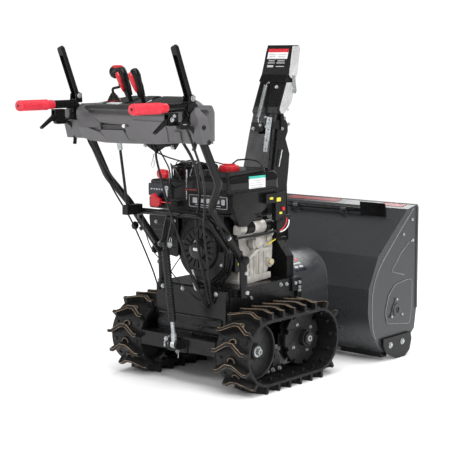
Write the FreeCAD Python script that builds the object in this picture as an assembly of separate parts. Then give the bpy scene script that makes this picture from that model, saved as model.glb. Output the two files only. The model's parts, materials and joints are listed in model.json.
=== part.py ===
"""Tracked two-stage snowblower: one STEP file per piece, millimetres.

Frame: +X to the operator's right, +Y forward, +Z up.  X = 0 is the centre plane,
Z = 0 the ground, and Y = 0 is half way between the grip ends and the bucket's mouth.
"""
import FreeCAD, Part
import math
import os

V = FreeCAD.Vector

# ---------------------------------------------------------------- driving sizes
HALF_LENGTH = 747.0          # grip ends to bucket mouth, halved
SHEET = 3.0                  # pressed sheet thickness
RUN = 0.05                   # radial clearance of every running fit

BUCKET_HALF = 356.0          # a 28 inch clearing width
BUCKET_TOP = 588.0
AUGER_Y, AUGER_Z = 597.0, 191.0
AUGER_R = 146.0
IMPELLER_Z = 250.0
DRUM_R = 166.0
DRUM_BACK = 228.2
SKID_OUT = 368.0

TRACK_IN, TRACK_OUT = 182.0, 328.0
AXLE_FRONT = 145.0           # drive axle, Y
AXLE_REAR = -146.0           # idler axle, Y
AXLE_Z = 142.0
BELT_R = 117.0
BELT_T = 10.0
GROUSER_H = 25.0
GROUSERS = 21

FRAME_HALF = 170.0
FRAME_BACK, FRAME_FRONT = -170.0, 228.0
DECK_Z = 350.0

GRIP_X, GRIP_Z = 264.0, 1003.0
TUBE_R = 14.0
HANDLE_LOW_X = 195.0
HOOP_R = 11.0

CHUTE_X, CHUTE_Y = -54.0, 316.0
CHUTE_HALF = 59.0
NECK_TOP = 448.0
NECK_R = 60.0
RING_R = 70.0
HINGE_LOW = (CHUTE_Y + 2.0, 950.0)    # lower deflector hinge, Y and Z
HINGE_TOP = (CHUTE_Y + 76.0, 1087.0)  # upper deflector hinge, Y and Z

CRANK_Z = 478.0              # engine crankshaft, on X = 0

PARTS = {}


# ---------------------------------------------------------------- helpers
def box(x0, x1, y0, y1, z0, z1):
    return Part.makeBox(x1 - x0, y1 - y0, z1 - z0, V(x0, y0, z0))


def rod(start, end, radius):
    a = V(*start)
    d = V(*end) - a
    return Part.makeCylinder(radius, d.Length, a, d)


def disc(axis, centre, radius, low, high):
    """Cylinder along X, Y or Z; centre gives the other two coordinates."""
    if axis == "X":
        return Part.makeCylinder(radius, high - low, V(low, centre[0], centre[1]), V(1, 0, 0))
    if axis == "Y":
        return Part.makeCylinder(radius, high - low, V(centre[0], low, centre[1]), V(0, 1, 0))
    return Part.makeCylinder(radius, high - low, V(centre[0], centre[1], low), V(0, 0, 1))


def place(axis, a, b, level):
    if axis == "X":
        return V(level, a, b)
    if axis == "Y":
        return V(a, level, b)
    return V(a, b, level)


def prism(axis, points, low, high, radii=None):
    """Polygon swept along an axis; radii maps a corner's number to its rounding."""
    radii = radii or {}
    n = len(points)
    corners = [place(axis, p[0], p[1], low) for p in points]
    edges = []
    stops = []
    for i, c in enumerate(corners):
        r = radii if isinstance(radii, (int, float)) else radii.get(i, 0)
        if not r:
            stops.append((c, c, None))
            continue
        u = (corners[i - 1] - c).normalize()
        w = (corners[(i + 1) % n] - c).normalize()
        half = u.getAngle(w) / 2
        back = r / math.tan(half)
        mid = c + (u + w).normalize() * (r / math.sin(half) - r)
        stops.append((c + u * back, c + w * back, mid))
    for i, (enter, leave, mid) in enumerate(stops):
        if mid is not None:
            edges.append(Part.Arc(enter, mid, leave).toShape())
        after = stops[(i + 1) % n][0]
        if (after - leave).Length > 1e-6:
            edges.append(Part.LineSegment(leave, after).toShape())
    face = Part.Face(Part.Wire(edges))
    return face.extrude(place(axis, 0, 0, high - low))


def route_edges(points, bends):
    """Straight runs joined by tangent arcs; bends is one radius or one per corner."""
    pts = [V(*p) for p in points]
    edges = []
    at = pts[0]
    for i in range(1, len(pts) - 1):
        c = pts[i]
        u = (pts[i - 1] - c).normalize()
        w = (pts[i + 1] - c).normalize()
        half = u.getAngle(w) / 2
        if bends is None:
            run = min((pts[i - 1] - c).Length, (pts[i + 1] - c).Length)
            r = 0.45 * run * math.tan(half)
        else:
            r = bends[i - 1] if isinstance(bends, (list, tuple)) else bends
        back = r / math.tan(half)
        mid = c + (u + w).normalize() * (r / math.sin(half) - r)
        enter = c + u * back
        edges.append(Part.LineSegment(at, enter).toShape())
        at = c + w * back
        edges.append(Part.Arc(enter, mid, at).toShape())
    edges.append(Part.LineSegment(at, pts[-1]).toShape())
    return edges


def tube(points, radius, bends=None):
    """Round bar along a route of straight runs and tangent arcs."""
    pts = [V(*p) for p in points]
    path = Part.Wire(route_edges(points, bends))
    start = Part.Wire(Part.makeCircle(radius, pts[0], pts[1] - pts[0]))
    return path.makePipeShell([start], True, True)


def fuse(first, *others):
    out = first.fuse(list(others)) if others else first
    return out.removeSplitter()


def cut(body, *tools):
    return body.cut(list(tools))


def mirror(shape):
    return shape.mirror(V(0, 0, 0), V(1, 0, 0))


def turned(shape, axis, centre, degrees):
    out = shape.copy()
    direction = {"X": V(1, 0, 0), "Y": V(0, 1, 0), "Z": V(0, 0, 1)}[axis]
    out.rotate(V(*centre), direction, degrees)
    return out


def group(shapes):
    solids = []
    for s in shapes:
        solids.extend(s.Solids)
    return Part.makeCompound(solids)


def soften(shape, radius, test):
    """Round the edges whose centre passes the test, one by one where they all allow it."""
    chosen = [e for e in shape.Edges if test(e)]
    try:
        out = shape.makeFillet(radius, chosen)
        if out.isValid() and out.Solids:
            return out
    except Exception:
        pass
    return shape


def along(edge, axis):
    a, b = edge.Vertexes[0].Point, edge.Vertexes[-1].Point
    d = b - a
    if d.Length < 1e-6 or not isinstance(edge.Curve, (Part.Line, Part.LineSegment)):
        return False
    return abs(abs(d.normalize()[axis]) - 1) < 1e-6


def hex_bolt(axis, centre, face, size, height, side=1):
    """Hexagon head standing on a face, pointing along +axis or -axis."""
    pts = []
    for k in range(6):
        t = math.radians(60 * k + 30)
        pts.append((centre[0] + size * math.cos(t), centre[1] + size * math.sin(t)))
    low, high = (face, face + height) if side > 0 else (face - height, face)
    return prism(axis, pts, low, high)


def add(name, shape):
    PARTS[name] = shape


def pair(shape):
    return group([shape, mirror(shape)])


def add_pair(name, shape):
    add("right_" + name, shape)
    add("left_" + name, mirror(shape))


# ---------------------------------------------------------------- bucket and drum
BUCKET_BACK = [(HALF_LENGTH, BUCKET_TOP), (676, 574), (476, 409), (415, 292), (411, 205)]


def bucket_outline():
    """Side view of the bucket: top, sloping back, round belly, lip."""
    pts = [V(0, y, z) for y, z in BUCKET_BACK]
    edges = [Part.LineSegment(a, b).toShape() for a, b in zip(pts, pts[1:])]
    edges.append(Part.Arc(pts[-1], V(0, 447, 104), V(0, 515, 37)).toShape())
    return edges


def bucket_face():
    edges = bucket_outline()
    low = [V(0, 515, 37), V(0, 690, 37), V(0, 709, 78), V(0, 733, 97), V(0, HALF_LENGTH, 175)]
    low.append(V(0, HALF_LENGTH, BUCKET_TOP))
    edges.extend(Part.LineSegment(a, b).toShape() for a, b in zip(low, low[1:]))
    return Part.Face(Part.Wire(edges))


def bucket_prism(half):
    return bucket_face().translate(V(-half, 0, 0)).extrude(V(2 * half, 0, 0))


def back_sheet():
    """Back, belly and top of the bucket as one bent sheet."""
    wire = Part.Wire(bucket_outline())
    strip = wire.makeOffset2D(SHEET, 2, True, True)
    if strip.BoundBox.ZMax > BUCKET_TOP + 1:
        strip = wire.makeOffset2D(-SHEET, 2, True, True)
    strip.translate(V(-BUCKET_HALF, 0, 0))
    return strip.extrude(V(2 * BUCKET_HALF, 0, 0))


def bead(points, width):
    """Side-view outline of a raised line of the given width."""
    left, right = [], []
    for k, (y, z) in enumerate(points):
        y0, z0 = points[max(k - 1, 0)]
        y1, z1 = points[min(k + 1, len(points) - 1)]
        run = V(0, y1 - y0, z1 - z0).normalize() * (width / 2)
        left.append((y - run.z, z + run.y))
        right.append((y + run.z, z - run.y))
    return left + right[::-1]


SIDE_PANEL = [(537, 144), (525, 192), (546, 251), (589, 289), (657, 298), (709, 298), (710, 189), (696, 121)]
SIDE_BORDER = [(462, 96), (441, 143), (438, 267), (478, 359), (585, 462), (716, 574)]
SIDE_HOOK = [(687, 444), (631, 408), (581, 358), (568, 343), (599, 334), (656, 320)]
SIDE_HOLES = [(708, 529), (645, 479), (710, 447)]


def side_emboss():
    """Pressed panel round the auger bearing and the raised lines of the side plate."""
    low, high = BUCKET_HALF - 1, BUCKET_HALF + 2.5
    panel = prism("X", SIDE_PANEL, low, high, 12)
    border = prism("X", bead(SIDE_BORDER, 9), low, high - 1)
    hook = prism("X", bead(SIDE_HOOK, 8), low, high - 1)
    return [panel, border, hook]


def auger_housing():
    side = cut(bucket_prism(BUCKET_HALF), bucket_prism(BUCKET_HALF - SHEET))
    shell = back_sheet().fuse(side)
    lip = []
    for s in (-1, 1):
        x0, x1 = sorted((s * BUCKET_HALF, s * (BUCKET_HALF + 4)))
        lip.append(box(x0, x1, HALF_LENGTH - 9, HALF_LENGTH, 178, BUCKET_TOP - 8))
    lip.append(box(-BUCKET_HALF, BUCKET_HALF, HALF_LENGTH - 12, HALF_LENGTH, BUCKET_TOP - 15, BUCKET_TOP - 1))
    for feature in side_emboss():
        lip.extend([feature, mirror(feature)])
    drum = cut(disc("Y", (0, IMPELLER_Z), DRUM_R, DRUM_BACK, 520), bucket_prism(BUCKET_HALF + 9))
    neck = disc("Z", (CHUTE_X, CHUTE_Y), NECK_R, IMPELLER_Z + 100, NECK_TOP)
    flange = disc("Z", (CHUTE_X, CHUTE_Y), NECK_R + 8, NECK_TOP - 6, NECK_TOP)
    lip.extend([drum, neck, flange])
    body = shell.fuse(lip).common(box(-400, 400, 0, HALF_LENGTH, 0, 700))
    bore = disc("Y", (0, IMPELLER_Z), DRUM_R - SHEET, DRUM_BACK + SHEET, 560)
    throat = disc("Z", (CHUTE_X, CHUTE_Y), NECK_R - SHEET, IMPELLER_Z + 60, NECK_TOP + 5)
    shaft_hole = disc("Y", (0, IMPELLER_Z), 22, DRUM_BACK - 5, DRUM_BACK + 9)
    body = cut(body, bore, throat, shaft_hole)
    for s in (-1, 1):
        x0, x1 = sorted((s * (BUCKET_HALF - 9), s * (BUCKET_HALF + 9)))
        body = body.cut(disc("X", (AUGER_Y, AUGER_Z), 16, x0, x1))
        for hole in SIDE_HOLES:
            body = body.cut(disc("X", hole, 5, x0, x1))
    for x in (-150, 90):
        body = body.fuse(tool_clip(x))
    return body.removeSplitter()


TOOL_Y, TOOL_Z = 632.0, 562.0
TOOL_R = 9.0


def tool_clip(x):
    """Moulded clip that grips the clean-out tool's shaft behind the bucket's top."""
    pad = prism("X", [(TOOL_Y - 17, TOOL_Z - 14), (TOOL_Y + 17, TOOL_Z - 14),
                      (TOOL_Y + 25, 545), (TOOL_Y + 8, 530)], x - 12, x + 12)
    body = pad.fuse(disc("X", (TOOL_Y, TOOL_Z), TOOL_R + 6, x - 12, x + 12))
    body = body.cut(disc("X", (TOOL_Y, TOOL_Z), TOOL_R + RUN, x - 13, x + 13))
    gap = TOOL_R + 0.3
    mouth = prism("X", [(TOOL_Y - gap, TOOL_Z), (TOOL_Y - gap, TOOL_Z + 40),
                        (TOOL_Y + gap, TOOL_Z + 40), (TOOL_Y + gap, TOOL_Z)], x - 13, x + 13)
    return body.cut(mouth).cut(bucket_prism(BUCKET_HALF - 10))


def clean_out_tool():
    shaft = disc("X", (TOOL_Y, TOOL_Z), TOOL_R, -170, 170)
    knob = disc("X", (TOOL_Y, TOOL_Z), 12, -190, -170)
    blade = prism("X", [(TOOL_Y - 4, TOOL_Z - 20), (TOOL_Y - 12, TOOL_Z + 34), (TOOL_Y - 8, TOOL_Z + 34),
                        (TOOL_Y + 2, TOOL_Z + 4), (TOOL_Y, TOOL_Z - 20)], 168, 285)
    return fuse(shaft, knob, blade)


def scraper_bar():
    pts = [(518, 34), (526, 11), (560, 11), (563, 33)]
    return prism("X", pts, -342, 342)


def skid_shoes():
    outline = [(500, 90), (500, 66), (518, 38), (574, 7), (600, 0), (650, 0), (684, 21), (697, 62),
               (690, 90)]
    plate = prism("X", outline, BUCKET_HALF + 0.4, SKID_OUT, {1: 10, 2: 30, 3: 60, 6: 20, 7: 14})
    for y in (548, 631):
        slot = prism("X", [(y - 6, 48), (y + 6, 48), (y + 6, 76), (y - 6, 76)],
                     BUCKET_HALF - 1, SKID_OUT + 1, 5.5)
        plate = plate.cut(slot)
    return group([plate, mirror(plate)])


def bearing_flanges():
    pts = [(595, 242), (642, 162), (549, 160)]
    plate = prism("X", pts, BUCKET_HALF + 2.7, BUCKET_HALF + 6, 12)
    hub = disc("X", (AUGER_Y, AUGER_Z), 24, BUCKET_HALF + 2.7, BUCKET_HALF + 10)
    sleeve = disc("X", (AUGER_Y, AUGER_Z), 15.9, BUCKET_HALF - 8, BUCKET_HALF + 4)
    body = cut(fuse(plate, hub, sleeve), disc("X", (AUGER_Y, AUGER_Z), 12 + RUN, 300, 400))
    return group([body, mirror(body)])


# ---------------------------------------------------------------- auger and impeller
GEARBOX_IN = 470.0
INPUT_END = 620.0


def auger_gearbox():
    """Worm gearbox: the input runs above the auger shaft, in line with the impeller."""
    case = disc("X", (AUGER_Y, AUGER_Z), 44, -34, 34)
    ears = disc("X", (AUGER_Y, AUGER_Z), 25, -52, 52)
    seam = disc("X", (AUGER_Y, AUGER_Z), 50, -4, 4)
    web = box(-24, 24, AUGER_Y - 42, AUGER_Y + 42, AUGER_Z, IMPELLER_Z)
    worm = disc("Y", (0, IMPELLER_Z), 26, AUGER_Y - 44, AUGER_Y + 44)
    nose = Part.makeCone(19, 26, 84, V(0, GEARBOX_IN, IMPELLER_Z), V(0, 1, 0))
    body = fuse(case, ears, seam, web, worm, nose)
    body = cut(body, disc("X", (AUGER_Y, AUGER_Z), 12 + RUN, -60, 60))
    return cut(body, disc("Y", (0, IMPELLER_Z), 12 + RUN, GEARBOX_IN - 5, INPUT_END + 2))


def flight(x0, turns, length, start, hand):
    """Ribbon flight: a band following a helix round the auger shaft."""
    band = 32.0
    mid_r = AUGER_R - band / 2
    helix = Part.makeHelix(length / turns, length, mid_r)
    section = Part.makePolygon([V(mid_r - band / 2, 0, -2.5), V(mid_r + band / 2, 0, -2.5),
                                V(mid_r + band / 2, 0, 2.5), V(mid_r - band / 2, 0, 2.5),
                                V(mid_r - band / 2, 0, -2.5)])
    solid = Part.Wire(helix).makePipeShell([section], True, True)
    if hand < 0:
        solid = solid.mirror(V(0, 0, 0), V(0, 1, 0))
    solid.rotate(V(0, 0, 0), V(0, 0, 1), start)
    solid.rotate(V(0, 0, 0), V(0, 1, 0), 90)
    solid.translate(V(x0, AUGER_Y, AUGER_Z))
    return solid


def right_auger_half():
    pipe = cut(disc("X", (AUGER_Y, AUGER_Z), 17, 56, 347), disc("X", (AUGER_Y, AUGER_Z), 10, 300, 351))
    pieces = [pipe.fuse(disc("X", (AUGER_Y, AUGER_Z), 12, 299, 364))]
    turns = 0.95
    length = 262.0
    x0 = 66.0
    for start in (0, 180):
        pieces.append(flight(x0, turns, length, start, 1))
    for k in range(3):
        share = (0.06, 0.5, 0.94)[k]
        x = x0 + share * length
        angle = share * turns * 360
        spoke = rod((x, AUGER_Y, AUGER_Z - AUGER_R + 20), (x, AUGER_Y, AUGER_Z + AUGER_R - 20), 6)
        pieces.append(turned(spoke, "X", (x, AUGER_Y, AUGER_Z), angle))
    return fuse(*pieces)


def auger():
    right = right_auger_half()
    centre = disc("X", (AUGER_Y, AUGER_Z), 12, -57, 57)
    return fuse(right, mirror(right), centre)


def impeller():
    hub = disc("Y", (0, IMPELLER_Z), 24, 300, 404)
    shaft = disc("Y", (0, IMPELLER_Z), 12, 192, INPUT_END)
    pulley = cut(disc("Y", (0, IMPELLER_Z), 78, 194, 216), disc("Y", (0, IMPELLER_Z), 60, 190, 198))
    blades = []
    for k in range(4):
        blade = box(-3, 3, 318, 402, IMPELLER_Z + 18, IMPELLER_Z + 156)
        tip = box(-3, 16, 318, 402, IMPELLER_Z + 150, IMPELLER_Z + 156)
        blades.append(turned(blade.fuse(tip), "Y", (0, 0, IMPELLER_Z), 90 * k + 20))
    return fuse(hub, shaft, pulley, *blades)


# ---------------------------------------------------------------- machine frame
def engine_frame():
    side = [(FRAME_BACK, DECK_Z), (FRAME_BACK, 206), (-60, 206), (50, 112), (FRAME_FRONT, 112),
            (FRAME_FRONT, DECK_Z)]
    body = prism("X", side, -FRAME_HALF, FRAME_HALF)
    inner = prism("X", [(FRAME_BACK - 9, DECK_Z - SHEET), (FRAME_BACK - 9, 90),
                        (FRAME_FRONT - SHEET, 90), (FRAME_FRONT - SHEET, DECK_Z - SHEET)],
                  -FRAME_HALF + SHEET, FRAME_HALF - SHEET)
    body = body.cut(inner)
    body = body.cut(disc("X", (AXLE_FRONT, AXLE_Z), 22, -200, 200))
    body = body.cut(disc("Y", (0, IMPELLER_Z), 22, FRAME_FRONT - 9, FRAME_FRONT + 9))
    body = body.cut(box(-60, 60, 186, 222, DECK_Z - 9, DECK_Z + 9))
    ears = []
    for s in (-1, 1):
        x0, x1 = sorted((s * (FRAME_HALF - 1), s * (HANDLE_LOW_X - TUBE_R)))
        ears.append(box(x0, x1, -152, -102, 326, DECK_Z - 1))
        x0, x1 = sorted((s * (FRAME_HALF - 1), s * (FRAME_HALF + 9)))
        ears.append(box(x0, x1, 176, FRAME_FRONT, 300, DECK_Z - 2))
        ears.append(box(x0, x1, 205, FRAME_FRONT, 150, 300))
    return fuse(body, *ears)


def rear_cover():
    outer = prism("Y", [(-166, 346), (166, 346), (166, 232), (120, 196), (-120, 196), (-166, 232)],
                  FRAME_BACK - 22, FRAME_BACK, {2: 18, 3: 30, 4: 30, 5: 18})
    inner = prism("Y", [(-162, 342), (162, 342), (162, 236), (118, 200), (-118, 200), (-162, 236)],
                  FRAME_BACK - 18, FRAME_BACK + 1, {2: 14, 3: 26, 4: 26, 5: 14})
    return outer.cut(inner)


# ---------------------------------------------------------------- tracks
def loop_outline(radius, low, high):
    """Stadium round both axles, swept across the track."""
    a, b = AXLE_REAR, AXLE_FRONT
    z = AXLE_Z
    top, bottom = z + radius, z - radius
    edges = [Part.LineSegment(V(low, a, top), V(low, b, top)).toShape(),
             Part.Arc(V(low, b, top), V(low, b + radius, z), V(low, b, bottom)).toShape(),
             Part.LineSegment(V(low, b, bottom), V(low, a, bottom)).toShape(),
             Part.Arc(V(low, a, bottom), V(low, a - radius, z), V(low, a, top)).toShape()]
    return Part.Face(Part.Wire(edges)).extrude(V(high - low, 0, 0))


def lug():
    """One chevron grouser standing on the XY plane, centred, running across the belt."""
    w = (TRACK_OUT - TRACK_IN) / 2
    tip = [(-w, -20), (-w, -9), (-w + 14, -9), (-15, 19), (15, 19), (w - 14, -9), (w, -9), (w, -20),
           (w - 16, -20), (12, 7), (-12, 7), (-w + 16, -20)]
    return prism("Z", tip, -4, GROUSER_H)


def around(index):
    """Position and outward angle of a grouser on the belt's outer face."""
    straight = AXLE_FRONT - AXLE_REAR
    arc = math.pi * BELT_R
    pitch = (2 * straight + 2 * arc) / GROUSERS
    s = (index + 0.5) * pitch
    if s < straight:
        return AXLE_REAR + s, AXLE_Z + BELT_R, 90.0
    s -= straight
    if s < arc:
        t = 90.0 - math.degrees(s / BELT_R)
        return (AXLE_FRONT + BELT_R * math.cos(math.radians(t)),
                AXLE_Z + BELT_R * math.sin(math.radians(t)), t)
    s -= arc
    if s < straight:
        return AXLE_FRONT - s, AXLE_Z - BELT_R, -90.0
    s -= straight
    t = -90.0 - math.degrees(s / BELT_R)
    return (AXLE_REAR + BELT_R * math.cos(math.radians(t)),
            AXLE_Z + BELT_R * math.sin(math.radians(t)), t)


def track_belt():
    belt = loop_outline(BELT_R, TRACK_IN, TRACK_OUT).cut(
        loop_outline(BELT_R - BELT_T, TRACK_IN - 1, TRACK_OUT + 1))
    lugs = []
    middle = (TRACK_IN + TRACK_OUT) / 2
    for i in range(GROUSERS):
        y, z, t = around(i)
        piece = lug()
        piece.rotate(V(0, 0, 0), V(1, 0, 0), t - 90.0)
        piece.translate(V(middle, y, z))
        lugs.append(piece)
    body = belt.fuse(lugs)
    floor = box(TRACK_IN - 5, TRACK_OUT + 5, -400, 400, -60, 0)
    return body.cut(floor).removeSplitter()


def undercarriage_frame():
    pieces = []
    for s in (-1, 1):
        x0, x1 = sorted((s * 172.5, s * 178.5))
        arm = prism("X", [(-262, 128), (-262, 179), (-225, 172), (150, 164), (176, 142), (150, 120),
                          (-225, 122)], x0, x1)
        pieces.append(arm)
        hang = prism("X", [(-50, 125), (10, 125), (-8, 56), (-32, 56)], x0, x1)
        pieces.append(hang)
        x0, x1 = sorted((s * 178.5, s * 205))
        pieces.append(disc("X", (AXLE_FRONT, AXLE_Z), 24, x0, x1))
        x0, x1 = sorted((s * 178, s * 246))
        pieces.append(disc("X", (-20, 66), 8, x0, x1))
    pieces.append(box(-178.5, 178.5, -262, -238, 128, 179))
    pieces.append(disc("X", (AXLE_REAR, AXLE_Z), 10, -276, 276))
    for x in (-16, 16):
        pieces.append(prism("X", [(-239, 165), (-239, 135), (-286, 135), (-292, 152), (-286, 168)],
                            x - 3, x + 3))
    pieces.append(disc("X", (-277, 152), 5, -20, 20))
    body = fuse(*pieces)
    for s in (-1, 1):
        x0, x1 = sorted((s * 160, s * 210))
        body = body.cut(disc("X", (AXLE_FRONT, AXLE_Z), 12 + RUN, x0, x1))
    return body


def sprocket():
    """Notched drive wheel with its half axle, on the right side."""
    centre = (AXLE_FRONT, AXLE_Z)
    notches = 9
    wheel = disc("X", centre, 98, 236, 246)
    second = disc("X", centre, 98, 208, 214)
    for k in range(notches):
        t = 360.0 / notches * k
        notch = box(200, 250, AXLE_FRONT + 86, AXLE_FRONT + 104, AXLE_Z - 9, AXLE_Z + 9)
        wheel = wheel.cut(turned(notch, "X", (0, AXLE_FRONT, AXLE_Z), t))
        second = second.cut(turned(notch, "X", (0, AXLE_FRONT, AXLE_Z), t))
    drum = cut(disc("X", centre, 78, 213, 237), disc("X", centre, 72, 212, 238))
    hub = disc("X", centre, 38, 206, 250)
    cup = cut(disc("X", centre, 30, 249, 274), disc("X", centre, 25, 262, 275))
    axle = disc("X", centre, 12, 20, 276)
    nut = hex_bolt("X", centre, 262, 24, 20)
    return fuse(wheel, second, drum, hub, cup, axle, nut)


def idler():
    centre = (AXLE_REAR, AXLE_Z)
    rim = cut(disc("X", centre, 100, 222, 271), disc("X", centre, 94, 221, 272))
    face = disc("X", centre, 95, 246, 251)
    dome = Part.makeCone(86, 34, 5, V(250.5, AXLE_REAR, AXLE_Z), V(1, 0, 0))
    hub = disc("X", centre, 30, 222, 257)
    cup = disc("X", centre, 24, 256, 270)
    wheel = fuse(rim, face, dome, hub, cup)
    return cut(wheel, disc("X", centre, 10 + RUN, 200, 300))


def roller():
    body = disc("X", (-20, 66), 27, 206, 240)
    body = cut(body, cut(disc("X", (-20, 66), 30, 217, 229), disc("X", (-20, 66), 20, 216, 230)))
    return cut(body, disc("X", (-20, 66), 8 + RUN, 200, 300))


# ---------------------------------------------------------------- height strut
STRUT_LOW = (-277.0, 152.0)
STRUT_TOP = (-322.0, 516.0)
STRUT_FOOT = (0.0,) + STRUT_LOW
STRUT_UP = (0.0,) + STRUT_TOP


def strut_point(share):
    y = STRUT_LOW[0] + share * (STRUT_TOP[0] - STRUT_LOW[0])
    z = STRUT_LOW[1] + share * (STRUT_TOP[1] - STRUT_LOW[1])
    return (0, y, z)


def strut_axis():
    return (V(*STRUT_UP) - V(*STRUT_FOOT)).normalize()


def strut_boot():
    """Corrugated boot over the strut's cylinder, with its upper eye."""
    length = (V(*STRUT_UP) - V(*STRUT_FOOT)).Length
    rings = 26
    low, high = 0.235 * length, 0.945 * length
    step = (high - low) / rings
    profile = [V(0, 0, low), V(12, 0, low)]
    for k in range(rings):
        z = low + k * step
        profile.extend([V(13.2, 0, z + 0.15 * step), V(15.5, 0, z + 0.5 * step), V(13.2, 0, z + 0.85 * step)])
    profile.extend([V(12, 0, high), V(8, 0, high), V(8, 0, length), V(0, 0, length), V(0, 0, low)])
    boot = Part.Face(Part.makePolygon(profile)).revolve(V(0, 0, 0), V(0, 0, 1), 360)
    boot = Part.Solid(boot) if boot.ShapeType == "Shell" else boot
    boot = boot.cut(disc("Z", (0, 0), 7 + RUN, low - 5, 0.76 * length))
    boot.Placement = FreeCAD.Placement(V(*STRUT_FOOT), FreeCAD.Rotation(V(0, 0, 1), strut_axis()))
    body = boot.fuse(disc("X", STRUT_TOP, 11, -8, 8))
    return cut(body, disc("X", STRUT_TOP, 5 + RUN, -12, 12))


def strut_rod():
    shaft = rod(strut_point(0.02), strut_point(0.55), 7)
    eye = disc("X", STRUT_LOW, 14, -9, 9)
    collar = rod(strut_point(0.02), strut_point(0.11), 10)
    return cut(fuse(shaft, eye, collar), disc("X", STRUT_LOW, 8.2, -12, 12))


def strut_hanger():
    pieces = []
    for x in (-15, 15):
        pieces.append(prism("X", [(-334, 504), (-310, 504), (-278, 609), (-300, 609)], x - 3, x + 3, {0: 8, 1: 8}))
    pieces.append(box(-18, 18, -300, -280, 597, 608.9))
    pieces.append(disc("X", STRUT_TOP, 5, -22, 22))
    return fuse(*pieces)


# ---------------------------------------------------------------- handles
def handle_route():
    return [(GRIP_X, -HALF_LENGTH + 8, GRIP_Z), (GRIP_X, -483, GRIP_Z), (GRIP_X, -338, 742),
            (HANDLE_LOW_X, -300, 650), (HANDLE_LOW_X, -131, 449), (HANDLE_LOW_X, -127, 322)]


def handle():
    return tube(handle_route(), TUBE_R, [42, 60, 60, 60])


def grips():
    body = disc("Y", (GRIP_X, GRIP_Z), 17.5, -HALF_LENGTH, -621)
    body = soften(body, 4, lambda e: abs(e.BoundBox.YLength) < 1e-6)
    bore = disc("Y", (GRIP_X, GRIP_Z), TUBE_R, -HALF_LENGTH + 8, -590)
    vent = disc("Y", (GRIP_X, GRIP_Z), 3, -HALF_LENGTH - 1, -HALF_LENGTH + 9)
    body = cut(body, bore, vent)
    collar = disc("Y", (GRIP_X, GRIP_Z), 15.5, -620.5, -592).cut(disc("Y", (GRIP_X, GRIP_Z), TUBE_R, -622, -591))
    return group([body, collar, mirror(body)])


def cross_hoop():
    side = 168.0
    pts = [(-side, -187, 497.5), (-side, -290, 620), (side, -290, 620), (side, -187, 497.5)]
    hoop = tube(pts, HOOP_R, [40, 40])
    x, y, z = CRANK_FOOT
    foot = box(x - 13, x + 13, y - 14, -290, z - 22, z + 12)
    foot = foot.cut(crank_place(disc("Z", (0, 0), 5 + RUN, -0.3, 60)))
    return fuse(hoop, foot)


LEVER_PIVOT = (-484.0, 1031.0)
TRIGGER_PIVOT = (-580.0, 966.0)


def lever_brackets():
    pieces = []
    for x in (GRIP_X - 13.6, GRIP_X + 13.6):
        pieces.append(prism("X", [(-500, 1008), (-468, 1008), (-470, 1038), (-484, 1044), (-497, 1038)],
                            x - 1.5, x + 1.5))
    saddle = disc("Y", (GRIP_X, GRIP_Z), TUBE_R + 3, -500, -472).cut(
        disc("Y", (GRIP_X, GRIP_Z), TUBE_R, -501, -460))
    pieces.append(saddle.common(box(GRIP_X - 30, GRIP_X + 30, -501, -471, GRIP_Z + 4, GRIP_Z + 20)))
    pieces.append(disc("X", LEVER_PIVOT, 4, GRIP_X - 17, GRIP_X + 17))
    upper = fuse(*pieces).cut(disc("Y", (GRIP_X, GRIP_Z), TUBE_R, -520, -480)).cut(handle())
    pieces = []
    for x in (GRIP_X - 8.5, GRIP_X + 8.5):
        pieces.append(box(x - 1.5, x + 1.5, -591, -546, 946, 987))
    pieces.append(box(GRIP_X - 10, GRIP_X + 10, -591, -546, 983, 986.9))
    pieces.append(disc("X", TRIGGER_PIVOT, 3, GRIP_X - 13, GRIP_X + 13))
    strap = prism("X", [(-548, 947), (-548, 952), (-512, 956), (-492, 975), (-488, 971), (-508, 951)],
                  GRIP_X - 10, GRIP_X + 10)
    pieces.append(strap)
    lower = fuse(*pieces).cut(disc("Y", (GRIP_X, GRIP_Z), TUBE_R, -620, -480)).cut(handle())
    return group([upper, mirror(upper), lower, mirror(lower)])


def control_lever():
    """Flat pressed lever over the grip, an inverted channel with a round tip."""
    length = 182.0
    y, z = LEVER_PIVOT
    strip = prism("X", [(y - 9, z - 10), (y + 7, z - 10), (y + 7, z + length), (y - 9, z + length)],
                  GRIP_X - 11, GRIP_X + 11)
    strip = strip.cut(prism("X", [(y - 20, z - 20), (y + 3, z - 20), (y + 3, z + length - 30),
                                  (y - 20, z + length - 30)], GRIP_X - 9, GRIP_X + 9))
    tip = prism("Y", [(GRIP_X - 11, z - 12), (GRIP_X + 11, z - 12), (GRIP_X + 11, z + length),
                      (GRIP_X - 11, z + length)], y - 30, y + 30, {2: 10.9, 3: 10.9})
    body = strip.common(tip)
    body = body.cut(disc("X", LEVER_PIVOT, 4 + RUN, GRIP_X - 20, GRIP_X + 20))
    return turned(body, "X", (0, y, z), 22)


def trigger():
    y, z = TRIGGER_PIVOT
    arm = prism("X", [(y + 8, z + 6), (y + 8, z - 6), (y - 4, z - 9), (y - 66, z - 44), (y - 69, z - 38),
                      (y - 6, z + 6)], GRIP_X - 6, GRIP_X + 6)
    return arm.cut(disc("X", TRIGGER_PIVOT, 3 + RUN, GRIP_X - 20, GRIP_X + 20))


# ---------------------------------------------------------------- console
CONSOLE_TOP = 1004.0
DECK_TOP = 1014.0
LEVER_SLOTS = ((-60.0, -392.0), (12.0, -405.0))
CRANK_HEAD = (-150.0, -412.0, 1012.0)   # where the chute crank leaves the console
CRANK_FOOT = (-150.0, -352.0, 633.0)


def console_outline(gap):
    """Front view of the grey cover, inset by a wall thickness."""
    return [(-318 + gap, 884), (-318 + gap, 968 - gap), (-285 + gap, CONSOLE_TOP - gap),
            (285 - gap, CONSOLE_TOP - gap), (318 - gap, 968 - gap), (318 - gap, 884)]


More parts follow.
